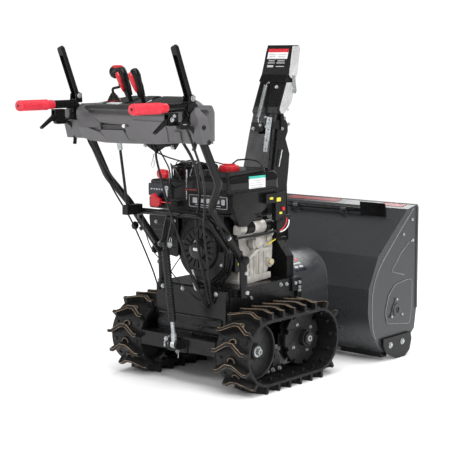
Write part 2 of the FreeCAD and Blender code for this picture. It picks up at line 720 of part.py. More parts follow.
def console_profile(gap):
    """Side view of the grey cover, inset by a wall thickness."""
    return [(-478 + gap, 884), (-500 + gap, 962), (-500 + gap, 982 - gap), (-476 + gap, CONSOLE_TOP - gap),
            (-352 - gap, CONSOLE_TOP - gap), (-322 - gap, 975 - gap), (-322 - gap, 884)]


def console_reach(gap):
    """Full depth between the handles, narrow leaning wings outside them."""
    middle = prism("Z", [(-246 + gap, -520), (246 - gap, -520), (246 - gap, -300 - gap), (-246 + gap, -300 - gap)],
                   850, 1040, {2: 60, 3: 60})
    wings = prism("X", [(-520, 860), (-520, 1020), (-476 - gap, 1020), (-418 - gap, 860)], -330, 330)
    return fuse(middle, wings)


def console_shell():
    wall = 4.0
    outer = prism("Y", console_outline(0), -510, -310, {1: 20, 2: 20, 3: 20, 4: 20}).common(
        prism("X", console_profile(0), -330, 330, {2: 9, 3: 10, 4: 10, 5: 10})).common(console_reach(0))
    inner = prism("Y", [(x, z if z > 890 else 870) for x, z in console_outline(wall)], -520, -300,
                  {1: 16, 2: 16, 3: 16, 4: 16}).common(
        prism("X", [(y, z if z > 890 else 870) for y, z in console_profile(wall)], -330, 330,
              {2: 5, 3: 6, 4: 6, 5: 6})).common(console_reach(wall))
    backing = box(-146, -14, -500, -474, 904, 950).common(outer)
    body = outer.cut(inner).fuse(backing)
    body = body.cut(prism("Y", [(-140, 912), (-140, 942), (-20, 934), (-20, 912)], -520, -481))
    for s in (-1, 1):
        x0, x1 = sorted((s * 247, s * 284))
        body = body.cut(prism("X", [(-520, 1030), (-520, 948), (-484, 948), (-438, 870), (-340, 870),
                                    (-452, 1030)], x0, x1))
    for x, y in LEVER_SLOTS:
        body = body.cut(box(x - 12, x + 12, y - 60, y + 60, 990, 1010))
    body = body.cut(disc("Z", CRANK_HEAD[:2], 14, 990, 1010))
    return body


def console_top():
    outline = [(-252, -400), (-200, -474), (200, -474), (252, -400), (225, -360), (-225, -360)]
    plate = prism("Z", outline, CONSOLE_TOP, DECK_TOP, {0: 30, 1: 50, 2: 50, 3: 30, 4: 20, 5: 20})
    plate = soften(plate, 6, lambda e: abs(e.BoundBox.ZMin - DECK_TOP) < 1e-6)
    for x, y in LEVER_SLOTS:
        plate = plate.cut(box(x - 8, x + 8, y - 52, y + 52, 990, 1030))
    deck = (V(*CRANK_HEAD) - V(*CRANK_FOOT)).Length
    return plate.cut(crank_place(disc("Z", (0, 0), 5 + RUN, deck - 30, deck + 30)))


SLOT_PIVOT_Z = 955.0


def console_bracket():
    """Cross rail inside the console that carries the lever pivots, and the plate below it."""
    rail = box(-238, 238, -372, -366, 940, 990)
    for x, y in LEVER_SLOTS:
        rail = rail.cut(box(x - 9, x + 9, -374, -364, 968, 992))
    pieces = [rail]
    for x, y in LEVER_SLOTS:
        pieces.append(disc("X", (y, SLOT_PIVOT_Z), 5, x - 16, x + 16))
        for s in (-1, 1):
            x0, x1 = sorted((x + s * 12, x + s * 16))
            pieces.append(box(x0, x1, y - 12, -366, SLOT_PIVOT_Z - 12, SLOT_PIVOT_Z + 12))
    plate = prism("Y", [(-60, 960), (110, 960), (112, 872), (96, 852), (74, 862), (46, 858), (10, 838),
                        (-40, 862), (-60, 880)], -372, -366)
    pieces.append(plate)
    for s in (-1, 1):
        x0, x1 = sorted((s * 238, s * 241.5))
        pieces.append(box(x0, x1, -372, -366, 940, 990))
    return fuse(*pieces)


def console_lever(x, y):
    lean = 35.0
    stem = prism("X", [(y - 4, SLOT_PIVOT_Z - 9), (y + 4, SLOT_PIVOT_Z - 9), (y + 4, 1062),
                       (y - 4, 1062)], x - 6, x + 6)
    boss = disc("X", (y, SLOT_PIVOT_Z), 10, x - 6, x + 6)
    grip = prism("X", [(y - 9, 1040), (y + 9, 1040), (y + 15, 1075), (y + 14, 1120), (y + 4, 1136),
                       (y - 8, 1134), (y - 14, 1110), (y - 12, 1070)], x - 12, x + 12,
                 {2: 20, 3: 10, 4: 8, 5: 8, 6: 10})
    grip = soften(grip, 6, lambda e: e.BoundBox.XLength < 1e-6)
    body = fuse(stem, boss, grip)
    body = body.cut(disc("X", (y, SLOT_PIVOT_Z), 5 + RUN, x - 20, x + 20))
    return turned(body, "X", (0, y, SLOT_PIVOT_Z), lean - 10)


def crank_place(shape):
    """Lay a shape made on the Z axis, foot at the origin, on the crank's leaning axis."""
    out = shape.copy()
    lean = V(*CRANK_HEAD) - V(*CRANK_FOOT)
    out.Placement = FreeCAD.Placement(V(*CRANK_FOOT), FreeCAD.Rotation(V(0, 0, 1), lean))
    return out


def chute_crank():
    deck = (V(*CRANK_HEAD) - V(*CRANK_FOOT)).Length
    bar = tube([(0, 0, deck + 5), (0, 0, deck + 44), (38, 0, deck + 50), (38, 0, deck + 84)], 4.5, [9, 9])
    shaft = disc("Z", (0, 0), 5, 0, deck + 20)
    collar = disc("Z", (0, 0), 8, deck - 170, deck - 128)
    boot = Part.makeCone(19, 8, 20, V(0, 0, deck + 6), V(0, 0, 1))
    knob = prism("Y", [(8, 88), (12, 118), (62, 118), (66, 88), (52, 80), (24, 80)], -13, 13, 7)
    knob = soften(knob, 5, lambda e: e.BoundBox.YLength < 1e-6).translate(V(0, 0, deck))
    return crank_place(fuse(shaft, collar, bar, boot, knob))


# ---------------------------------------------------------------- chute
def ahead(points):
    """Side-view points given from the chute's turning axis, moved into place."""
    return [(CHUTE_Y + y, z) for y, z in points]


def chute():
    x0, x1 = CHUTE_X - CHUTE_HALF, CHUTE_X + CHUTE_HALF
    base = NECK_TOP + 1.0
    ring = disc("Z", (CHUTE_X, CHUTE_Y), RING_R, base, base + 8)
    teeth = []
    for k in range(30):
        tooth = box(CHUTE_X + RING_R - 2, CHUTE_X + RING_R + 4, CHUTE_Y - 4, CHUTE_Y + 4, base, base + 8)
        teeth.append(turned(tooth, "Z", (CHUTE_X, CHUTE_Y, 0), 12 * k))
    side = [(-66, base + 8), (-73, 745), (-38, 870), (-10, 952), (-4, 962), (10, 962), (18, 950),
            (52, 905), (52, 877), (38, 851), (63, 790), (58, 740), (48, 673), (50, 600),
            (58, base + 8)]
    body = prism("X", ahead(side), x0, x1)
    inside = [(-63.4, base + 8), (-70.4, 745), (-35.4, 869), (-8, 949), (0, 1000), (120, 1000),
              (120, 640), (46, 640), (47.4, 600), (55.4, base + 8)]
    body = body.cut(prism("X", ahead(inside), x0 + 2.5, x1 - 2.5))
    conduit = tube([(x1 + 4, CHUTE_Y - 50, 700), (x1 + 4, CHUTE_Y - 22, 850), (x1 + 4, CHUTE_Y - 12, 924)],
                   3, [60])
    clips = [box(x1 - 1, x1 + 4, CHUTE_Y + y - 4, CHUTE_Y + y + 4, z, z + 10) for y, z in ((-46, 716), (-20, 862))]
    body = ring.fuse([body, conduit] + teeth + clips)
    body = body.cut(disc("Z", (CHUTE_X, CHUTE_Y), NECK_R - SHEET, base - 1, base + 9))
    body = body.cut(disc("X", HINGE_LOW, 4 + RUN, x0 - 2, x1 + 2))
    return body.removeSplitter()


def deflector_mid():
    """Middle flap: back plate between two side wings that pivot on the chute's walls."""
    inner = CHUTE_HALF + 0.6
    outer = inner + 2.0
    wing = ahead([(-10, 938), (14, 938), (30, 960), (68, 985), (96, 1060), (94, 1096), (64, 1104),
                  (44, 1084), (-8, 972), (-16, 955)])
    plate = ahead([(-15.8, 949), (-13.2, 947.5), (-5.5, 970), (43, 1083), (40.5, 1084), (-8.2, 971.5)])
    pieces = [prism("X", plate, CHUTE_X - outer, CHUTE_X + outer)]
    for s in (-1, 1):
        low, high = sorted((CHUTE_X + s * inner, CHUTE_X + s * outer))
        pieces.append(prism("X", wing, low, high, {0: 8, 1: 8}))
        low, high = sorted((CHUTE_X + s * (CHUTE_HALF - 4.5), CHUTE_X + s * (outer + 1)))
        pieces.append(disc("X", HINGE_LOW, 4, low, high))
    return fuse(*pieces)


def deflector_top():
    """Top flap with its two wings, outside the middle flap's wings."""
    inner = CHUTE_HALF + 3.2
    outer = inner + 2.0
    wing = ahead([(46, 1092), (62, 1076), (88, 1076), (104, 1098), (121, 1190), (112, 1206), (84, 1206),
                  (72, 1180)])
    plate = ahead([(27.5, 1066.5), (30.5, 1065.5), (40, 1084), (48, 1093), (86, 1206), (83, 1206),
                   (44.5, 1094)])
    pieces = [prism("X", plate, CHUTE_X - outer, CHUTE_X + outer)]
    for s in (-1, 1):
        low, high = sorted((CHUTE_X + s * inner, CHUTE_X + s * outer))
        pieces.append(prism("X", wing, low, high, {1: 8, 2: 8, 5: 10}))
    body = fuse(*pieces)
    return body.cut(disc("X", HINGE_TOP, 4 + RUN, CHUTE_X - 80, CHUTE_X + 80))


def deflector_links():
    """Bright links and their rivets, carried by the middle flap outside the top wings."""
    inner = CHUTE_HALF + 5.8
    links = []
    for s in (-1, 1):
        low, high = sorted((CHUTE_X + s * inner, CHUTE_X + s * (inner + 2.0)))
        bar = prism("X", ahead([(66, 1096), (86, 1097), (97, 1031), (90, 1020), (78, 1024)]), low, high,
                    {0: 7, 1: 7, 2: 4, 3: 4, 4: 4})
        low, high = sorted((CHUTE_X + s * (CHUTE_HALF + 2.6), CHUTE_X + s * (inner + 4.0)))
        pin = disc("X", HINGE_TOP, 4, low, high)
        foot = disc("X", (CHUTE_Y + 86, 1036), 5, low, high)
        links.append(fuse(bar, pin, foot))
    return group(links)


# ---------------------------------------------------------------- engine
def engine_block():
    base = box(-118, 112, -55, 112, DECK_Z, DECK_Z + 11)
    case = prism("Y", [(-100, 360), (104, 360), (110, 420), (84, 500), (40, 548), (-60, 548), (-100, 500)],
                 -50, 106, {2: 20, 3: 24, 4: 20, 5: 30, 6: 20})
    boss = disc("Y", (0, CRANK_Z), 38, 100, 176)
    tower = []
    for k in range(9):
        x = -108 - 12 * k
        tower.append(box(x - 3, x + 3, -55, 74, 452, 590))
    barrel = disc("X", (4, 522), 52, -226, -60)
    head = box(-232, -214, -66, 76, 446, 596)
    oil = disc("X", (100, 416), 14, 96, 128)
    lug_a = disc("X", (60, 468), 9, 80, 122)
    rib_a = box(104, 116, 40, 52, 362, 448)
    rib_b = box(104, 116, -30, -18, 362, 440)
    body = fuse(base, case, boss, barrel, head, oil, lug_a, rib_a, rib_b, *tower)
    body = body.cut(disc("Y", (0, CRANK_Z), 13 + RUN, -60, 180))
    body = body.cut(disc("X", (100, 416), 6 + RUN, 110, 130))
    return body


def crankshaft():
    shaft = disc("Y", (0, CRANK_Z), 13, -118, 217)
    flywheel = disc("Y", (0, CRANK_Z), 88, -92, -62)
    fins = []
    for k in range(16):
        fin = box(-1.5, 1.5, -112, -90, CRANK_Z + 52, CRANK_Z + 86)
        fins.append(turned(fin, "Y", (0, 0, CRANK_Z), 22.5 * k))
    pulley = cut(disc("Y", (0, CRANK_Z), 36, 188, 214), cut(disc("Y", (0, CRANK_Z), 40, 197, 205),
                                                          disc("Y", (0, CRANK_Z), 28, 196, 206)))
    return fuse(shaft, flywheel, pulley, *fins)


def blower_housing():
    """Round fan housing behind the flywheel, open to the front."""
    outer = disc("Y", (0, CRANK_Z), 116, -128, -57)
    inner = disc("Y", (0, CRANK_Z), 112, -124, -56)
    eye = disc("Y", (0, CRANK_Z), 76, -130, -120)
    low = box(-150, 150, -140, -40, 300, CRANK_Z - 106)
    crown = box(-96, 104, -128, -57, 540, 610.8).cut(box(-92, 100, -124, -56, 530, 607))
    return outer.fuse(crown).cut([inner, eye, low]).removeSplitter()


def recoil_cover():
    dish = disc("Y", (0, CRANK_Z), 82, -146, -128.2)
    dish = soften(dish, 8, lambda e: e.BoundBox.YMax < -145.9)
    rim = disc("Y", (0, CRANK_Z), 96, -133, -128.2)
    body = fuse(dish, rim, disc("Y", (0, CRANK_Z), 24, -152, -144))
    body = body.cut(disc("Y", (0, CRANK_Z), 76, -141, -120))
    slots = []
    for k in range(18):
        slot = box(-2.4, 2.4, -160, -138, CRANK_Z + 34, CRANK_Z + 70)
        slots.append(turned(slot, "Y", (0, 0, CRANK_Z), 20 * k))
    guide = box(70, 100, -146, -128.2, CRANK_Z - 2, CRANK_Z + 30)
    body = body.cut(slots).fuse(guide)
    return body.cut(disc("Y", (86, CRANK_Z + 15), 3, -150, -120))


def recoil_handle():
    grip = rod((86, -160, 470), (86, -160, 516), 9)
    grip = soften(grip, 4, lambda e: e.BoundBox.ZLength < 1e-6)
    return fuse(grip, disc("Y", (86, CRANK_Z + 15), 2.5, -160, -128))


KEY_AT = (-156.0, 637.0)


def engine_shroud():
    """Top cover of the engine with the control panel on its left."""
    top = prism("X", [(-145, 611), (-145, 690), (98, 690), (98, 672), (16, 650), (-74, 611)], -55, 162,
                {0: 6, 1: 6})
    top = soften(top, 26, lambda e: along(e, 2) and e.BoundBox.XMin > 160 and e.BoundBox.YMax < -140)
    panel = prism("Y", [(-242, 612), (-50, 612), (-50, 652), (-242, 652)], -145, 60, {0: 10})
    skirt = prism("X", [(-144, 640), (-108, 567), (-60, 574), (47, 626), (97, 672), (97, 684), (-144, 684)],
                  156, 162, {1: 8, 2: 8})
    switch = box(-120, -86, -163, -144, 628, 647)
    return fuse(top, skirt, panel, switch).cut(disc("X", KEY_AT, 2.5 + RUN, -121, -100))


def side_cover():
    """Rounded black cover at the left of the engine."""
    body = prism("Y", [(-252, 600), (-130, 600), (-130, 440), (-172, 440), (-180, 484), (-252, 500)],
                 -132, -72, {0: 10, 5: 20})
    return body


CHOKE_AT = (-205.0, -104.0)


def snow_hood():
    hood = box(-252, -60, -132, 62, 652.2, 716)
    hood = soften(hood, 10, lambda e: along(e, 2) or e.BoundBox.ZMin > 715)
    return hood.cut(disc("Z", CHOKE_AT, 5 + RUN, 700, 720))


def muffler():
    can = prism("Z", [(-214, -50), (-70, -50), (-70, 58), (-214, 58)], 716.4, 752, 20)
    hoops = []
    for x in (-196, -142, -88):
        hoops.append(tube([(x, -58, 716.4), (x, -58, 766), (x, 62, 766), (x, 62, 716.4)], 3, [14, 14]))
    for y in (-30, 34):
        hoops.append(disc("X", (y, 766), 3, -200, -84))
    return fuse(can, *hoops, *[box(x - 2, x + 2, -40, 48, 750, 766) for x in (-196, -142, -88)])


def fuel_tank():
    """Moulded tank whose top rises a little toward the front."""
    x0, x1, y0, y1 = -34.0, 172.0, -180.0, 102.0
    side = [(y0, 690.2), (y1, 690.2), (y1, 742), (y1 - 10, 753), (y0 + 12, 740), (y0, 729)]
    body = soften(prism("X", side, x0, x1), 16, lambda e: along(e, 2))
    shoulder = [(x0 - 1, 690), (x0, 726), (x0 + 20, 754), (x1 - 20, 754), (x1, 726), (x1 + 1, 690)]
    body = body.common(prism("Y", shoulder, y0 - 1, y1 + 1, {1: 12, 2: 12, 3: 12, 4: 12}))
    top = prism("Z", [(x0 + 30, y0 + 34), (x1 - 34, y0 + 34), (x1 - 34, y1 - 30), (x0 + 30, y1 - 30)], 736, 762,
                16)
    body = body.fuse(top)
    pocket = disc("Z", CAP_AT, 43, 748, 770)
    body = body.cut(pocket)
    neck = disc("Z", CAP_AT, 24, 740, 754)
    body = body.fuse(neck)
    return body.cut(disc("Z", CAP_AT, 20, 700, 760)).removeSplitter()


CAP_AT = (72.0, -60.0)


def fuel_cap():
    top = disc("Z", CAP_AT, 35, 755, 775)
    ribs = []
    for k in range(24):
        rib = box(CAP_AT[0] + 34, CAP_AT[0] + 37, CAP_AT[1] - 2, CAP_AT[1] + 2, 755, 771)
        ribs.append(turned(rib, "Z", (CAP_AT[0], CAP_AT[1], 0), 15 * k))
    stem = disc("Z", CAP_AT, 20 - RUN, 738, 756)
    return fuse(top, stem, *ribs)


def electric_starter():
    motor = disc("Y", (140, 556), 22, -58, 82)
    cap = disc("Y", (140, 556), 18, -94, -58)
    nose = disc("Y", (140, 556), 15, 82, 96)
    foot = box(108, 140, 30, 76, 520, 545)
    solenoid = disc("Y", (140, 588), 13, -40, 30)
    link = box(134, 146, -20, 10, 570, 590)
    body = fuse(motor, cap, nose, foot, solenoid, link)
    return body.cut(engine_block())


BUTTON_AT = (112.0, 615.0)


def switch_box():
    lid = box(163, 181, 18, 132, 640, 674)
    low = box(163, 181, 72, 132, 574, 640.1)
    low = fuse(lid, low)
    low = soften(low, 3, lambda e: along(e, 0))
    socket = box(160, 176, 128, 164, 552, 588)
    hook = box(163, 176, 84, 130, 527, 574.1)
    body = fuse(low, socket, hook)
    return body.cut(disc("X", BUTTON_AT, 7 + RUN, 169, 190))


def start_button():
    cap = disc("X", BUTTON_AT, 7, 173.5, 186)
    return cap


def belt_cover():
    outline = [(-148, DECK_Z + 0.2), (-148, 425), (-100, 482), (-90, 530), (-44, 576), (44, 576), (90, 530),
               (100, 482), (148, 425), (148, DECK_Z + 0.2)]
    inset = [(-144, DECK_Z - 5), (-144, 423), (-96, 480), (-86, 528), (-42, 572), (42, 572), (86, 528),
             (96, 480), (144, 423), (144, DECK_Z - 5)]
    bends = {1: 12, 2: 14, 3: 30, 4: 30, 5: 30, 6: 30, 7: 14, 8: 12}
    body = prism("Y", outline, 181, 221, bends)
    body = body.cut(prism("Y", inset, 184, 218, bends))
    return body.cut(disc("Y", (0, CRANK_Z), 16, 178, 190))


def choke_knob():
    dome = disc("Z", CHOKE_AT, 22, 721, 740)
    dome = soften(dome, 6, lambda e: e.BoundBox.ZMin > 739)
    return fuse(dome, disc("Z", CHOKE_AT, 5, 702, 722))


def ignition_key():
    bar = prism("Y", [(-222, 620), (-222, 660), (-206, 668), (-192, 652), (-176, 648), (-176, 626), (-190, 618)],
                -162, -150, 5)
    return fuse(bar, disc("X", KEY_AT, 2.5, -184, -104))


def throttle_lever():
    plate = prism("Y", [(-160, 694), (-146, 694), (-148, 660), (-152, 644), (-156, 660)], -149, -146, {0: 5, 1: 5})
    return plate.fuse(disc("Y", (-153, 688), 9, -149, -146)).cut(disc("Y", (-153, 688), 3 + RUN, -152, -140))


def oil_cap():
    body = disc("X", (100, 416), 12, 128.4, 143)
    body = soften(body, 3, lambda e: e.BoundBox.XMin > 142)
    return fuse(body, disc("X", (100, 416), 6, 112, 129))


# ---------------------------------------------------------------- cables and fasteners
# Routes of the control cables: radius and the points of the run, from the console down.
CABLES = [
    (3.0, [(-238, -462, 925), (-236, -462, 880), (-217, -420, 800), (-204, -372, 700), (-180, -306, 590),
           (-172, -250, 480), (-160, -214, 390), (-151, -204, 345), (-150, -195.8, 322)]),
    (2.5, [(-226, -462, 925), (-222, -458, 880), (-204, -412, 790), (-186, -358, 700), (-168, -326, 650),
           (-166, -301.4, 622)]),
    (4.0, [(16, -380, 850), (18, -381, 822), (22, -332, 660), (46, -280, 500), (58, -246, 400),
           (80, -208, 300), (84, -196.8, 282)]),
    (2.5, [(30, -378, 850), (46, -372, 822), (40, -340, 785), (0, -292, 752), (-62, -226, 716),
           (-112, -160, 700), (-128, -132.4, 690)]),
    (2.5, [(-12, -378, 872), (8, -384, 846), (36, -350, 824), (32, -280, 806), (4, -212, 792),
           (-26, -152, 780), (-58, -112, 756), (-76, -100, 718.0)]),
    (5.0, [(196, -452, 925), (198, -446, 888), (207, -418, 846), (198, -380, 800), (170, -330, 736),
           (120, -272, 668), (72, -238, 600), (58, -222, 545), (64, -216, 480), (84, -212, 400),
           (96, -206, 330), (98, -197.8, 300)]),
    (4.0, [(281, -532, 952), (297, -524, 926), (302, -508, 880), (292, -466, 820), (258, -404, 745),
           (208, -346, 660), (160, -300, 580), (134, -252, 480), (118, -224, 380), (112, -207, 320),
           (112, -196.8, 300)]),
    (2.0, [(150, -301.6, 622), (128, -272, 600), (84, -246, 560), (40, -242, 505), (-24, -250, 427),
           (-74, -236, 370), (-112, -208, 334), (-120, -194.8, 316)]),
    (2.0, [(-126, -303.4, 616), (-128, -292, 560), (-116, -272, 480), (-50, -262, 428), (8, -256, 372),
           (40, -226, 328), (46, -194.8, 304)]),
    (4.5, [(196, -176, 534), (192, -140, 536), (189, -60, 534), (186, 30, 536), (181, 83.8, 538)]),
]
TURNBUCKLE = ((58, -246, 400), (69, -226, 350), 7.0)


def control_cables():
    """Bowden cables, the speed rod with its turnbuckle, and the starter lead."""
    runs = []
    for radius, points in CABLES:
        edges = route_edges(points, None)
        bends = [round(e.Curve.Radius) for e in edges if isinstance(e.Curve, Part.Circle)]
        length = sum(e.Length for e in edges)
        piece = tube(points, radius)
        share = piece.Volume / (math.pi * radius ** 2 * length)
        print("cable", radius, "length", round(length), "volume share", round(share, 3), "bends", bends)
        runs.append(piece)
    start, end, radius = TURNBUCKLE
    runs[2] = runs[2].fuse(rod(start, end, radius))
    return group(runs)


def fasteners():
    bolts = []
    out = BUCKET_HALF
    for y, z in ((548, 60), (631, 62)):
        bolts.append(hex_bolt("X", (y, z), SKID_OUT, 8, 6))
    for y, z in ((595, 232), (633, 168), (560, 168)):
        bolts.append(hex_bolt("X", (y, z), out + 6, 5, 5))
    for y, z in ((706, 531), (646, 479), (712, 449)):
        bolts.append(disc("X", (y, z), 6, out, out + 4))
    for y, z in ((-127.5, 340), (-131, 410)):
        bolts.append(hex_bolt("X", (y, z), HANDLE_LOW_X + TUBE_R, 8, 6))
    for y, z in ((190, 330), (214, 330), (214, 312)):
        bolts.append(hex_bolt("X", (y, z), FRAME_HALF + 9, 7, 6))
    everything = bolts + [mirror(b) for b in bolts]
    return group(everything)


# ---------------------------------------------------------------- build
def build():
    add("engine_frame", engine_frame())
    add("rear_cover", rear_cover())
    add("auger_housing", auger_housing())
    add("clean_out_tool", clean_out_tool())
    add("scraper_bar", scraper_bar())
    add("skid_shoes", skid_shoes())
    add("bearing_flanges", bearing_flanges())
    add("auger_gearbox", auger_gearbox())
    add("auger", auger())
    add("impeller", impeller())
    add("track_belts", pair(track_belt()))
    add("undercarriage_frame", undercarriage_frame())
    add_pair("sprocket", sprocket())
    add_pair("idler", idler())
    add_pair("roller", roller())
    add("strut_boot", strut_boot())
    add("strut_rod", strut_rod())
    add("strut_hanger", strut_hanger())
    add("handles", pair(handle()))
    add("grips", grips())
    add("cross_hoop", cross_hoop())
    add("lever_brackets", lever_brackets())
    add("auger_lever", control_lever())
    add("drive_lever", mirror(control_lever()))
    add_pair("steering_trigger", trigger())
    add("console_shell", console_shell())
    add("console_top", console_top())
    add("console_bracket", console_bracket())
    add("deflector_lever", console_lever(*LEVER_SLOTS[0]))
    add("speed_lever", console_lever(*LEVER_SLOTS[1]))
    add("chute_crank", chute_crank())
    add("chute", chute())
    add("deflector_mid", deflector_mid())
    add("deflector_top", deflector_top())
    add("deflector_links", deflector_links())
    add("engine_block", engine_block())
    add("crankshaft", crankshaft())
    add("blower_housing", blower_housing())
    add("recoil_cover", recoil_cover())
    add("recoil_handle", recoil_handle())
    add("engine_shroud", engine_shroud())
    add("side_cover", side_cover())
    add("snow_hood", snow_hood())
    add("muffler", muffler())
    add("fuel_tank", fuel_tank())
    add("fuel_cap", fuel_cap())
    add("electric_starter", electric_starter())
    add("switch_box", switch_box())
    add("start_button", start_button())
    add("belt_cover", belt_cover())
    add("choke_knob", choke_knob())
    add("ignition_key", ignition_key())
    add("throttle_lever", throttle_lever())
    add("oil_cap", oil_cap())
    add("control_cables", control_cables())
    add("fasteners", fasteners())


build()
os.makedirs("parts", exist_ok=True)
for part_name, part_shape in PARTS.items():
    part_shape.exportStep(os.path.join("parts", part_name + ".step"))
    print(part_name, len(part_shape.Solids), "valid" if part_shape.isValid() else "INVALID")
print(len(PARTS), "parts")
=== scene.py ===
"""Looks of a tracked two-stage snowblower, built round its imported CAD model.

The row frame is in metres: +X to the operator's right, +Y forward, +Z up.
Detail pieces are drawn in millimetres and scaled when they are finished.
"""
import json
import math

import bmesh
import bpy
from mathutils import Matrix, Vector


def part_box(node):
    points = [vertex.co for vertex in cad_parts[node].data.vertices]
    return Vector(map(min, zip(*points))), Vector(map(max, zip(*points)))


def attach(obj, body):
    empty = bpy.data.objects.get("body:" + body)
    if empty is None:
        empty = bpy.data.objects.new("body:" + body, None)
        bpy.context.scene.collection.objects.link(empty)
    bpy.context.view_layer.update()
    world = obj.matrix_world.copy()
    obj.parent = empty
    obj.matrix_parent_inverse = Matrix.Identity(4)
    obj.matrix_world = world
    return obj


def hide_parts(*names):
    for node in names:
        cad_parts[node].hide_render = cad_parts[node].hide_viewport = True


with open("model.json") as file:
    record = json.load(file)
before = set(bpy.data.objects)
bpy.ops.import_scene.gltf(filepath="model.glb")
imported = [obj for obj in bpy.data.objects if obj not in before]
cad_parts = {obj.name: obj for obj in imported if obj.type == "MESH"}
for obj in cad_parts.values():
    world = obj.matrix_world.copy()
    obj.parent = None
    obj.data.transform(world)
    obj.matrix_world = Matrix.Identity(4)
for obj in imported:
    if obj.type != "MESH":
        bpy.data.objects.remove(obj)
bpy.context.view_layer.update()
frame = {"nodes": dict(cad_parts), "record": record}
NODES = frame["nodes"]
MM = 0.001
SHARP = math.radians(35)


def add_object(name, data):
    """Object in the scene's own collection."""
    made = bpy.data.objects.new(name, data)
    bpy.context.scene.collection.objects.link(made)
    return made


# ---------------------------------------------------------------- camera, floor and lights
def add_camera():
    data = bpy.data.cameras.new("camera")
    camera = add_object("camera", data)
    azimuth, pitch, roll = (math.radians(angle) for angle in (40.53, 7.35, -0.17))
    level = math.cos(pitch)
    back = Vector((math.sin(azimuth) * level, -math.cos(azimuth) * level, math.sin(pitch)))
    right = Vector((0, 0, 1)).cross(back).normalized()
    up = back.cross(right)
    turn = Matrix((right, up, back)).transposed() @ Matrix.Rotation(roll, 3, "Z")
    camera.matrix_world = Matrix.Translation((3.100, -3.625, 1.166)) @ turn.to_4x4()
    data.sensor_width = 36.0
    data.lens = 104.96
    data.clip_end = 60.0
    bpy.context.scene.camera = camera


def add_light(name, kind, place, aim, power, size):
    data = bpy.data.lights.new(name, kind)
    data.energy = power
    if kind == "AREA":
        data.shape = "RECTANGLE"
        data.size, data.size_y = size
    else:
        data.angle = size[0]
    light = add_object(name, data)
    light.location = place
    light.rotation_euler = (Vector(place) - Vector(aim)).to_track_quat("Z", "Y").to_euler()


def add_world():
    """Soft studio surround: white backdrop, dimmer as a source of light."""
    world = bpy.data.worlds.new("studio")
    world.use_nodes = True
    tree = world.node_tree
    shade = tree.nodes["Background"]
    shade.inputs["Color"].default_value = (1.0, 1.0, 1.0, 1.0)
    path = tree.nodes.new("ShaderNodeLightPath")
    dim = tree.nodes.new("ShaderNodeMapRange")
    dim.inputs["To Min"].default_value = 0.42
    dim.inputs["To Max"].default_value = 0.20
    level = tree.nodes.new("ShaderNodeMapRange")
    level.inputs["To Max"].default_value = 1.05
    tree.links.new(path.outputs["Is Glossy Ray"], dim.inputs["Value"])
    tree.links.new(dim.outputs["Result"], level.inputs["To Min"])
    tree.links.new(path.outputs["Is Camera Ray"], level.inputs["Value"])
    tree.links.new(level.outputs["Result"], shade.inputs["Strength"])
    bpy.context.scene.world = world


def add_studio():
    mesh = bpy.data.meshes.new("floor")
    half = 18.0
    corners = [(-half, -half, 0), (half, -half, 0), (half, half, 0), (-half, half, 0)]
    mesh.from_pydata(corners, [], [(0, 1, 2, 3)])
    floor = add_object("floor", mesh)
    mesh.materials.append(floor_material())
    add_world()
    middle = (0.0, 0.0, 0.55)
    add_light("overhead", "SUN", (0.6, -0.5, 4.0), (0.0, 0.0, 0.0), 2.5, (0.9, 0.9))
    add_light("key", "AREA", (3.4, -1.2, 2.6), middle, 84.0, (1.3, 2.0))
    add_light("fill", "AREA", (-3.4, -3.0, 2.0), middle, 44.0, (0.9, 2.4))
    add_light("rim", "AREA", (-0.8, 3.8, 2.6), middle, 60.0, (3.2, 1.4))
    add_light("strip", "AREA", (1.2, -3.9, 1.9), middle, 26.0, (0.22, 2.6))
    bpy.context.scene.view_settings.view_transform = "Standard"


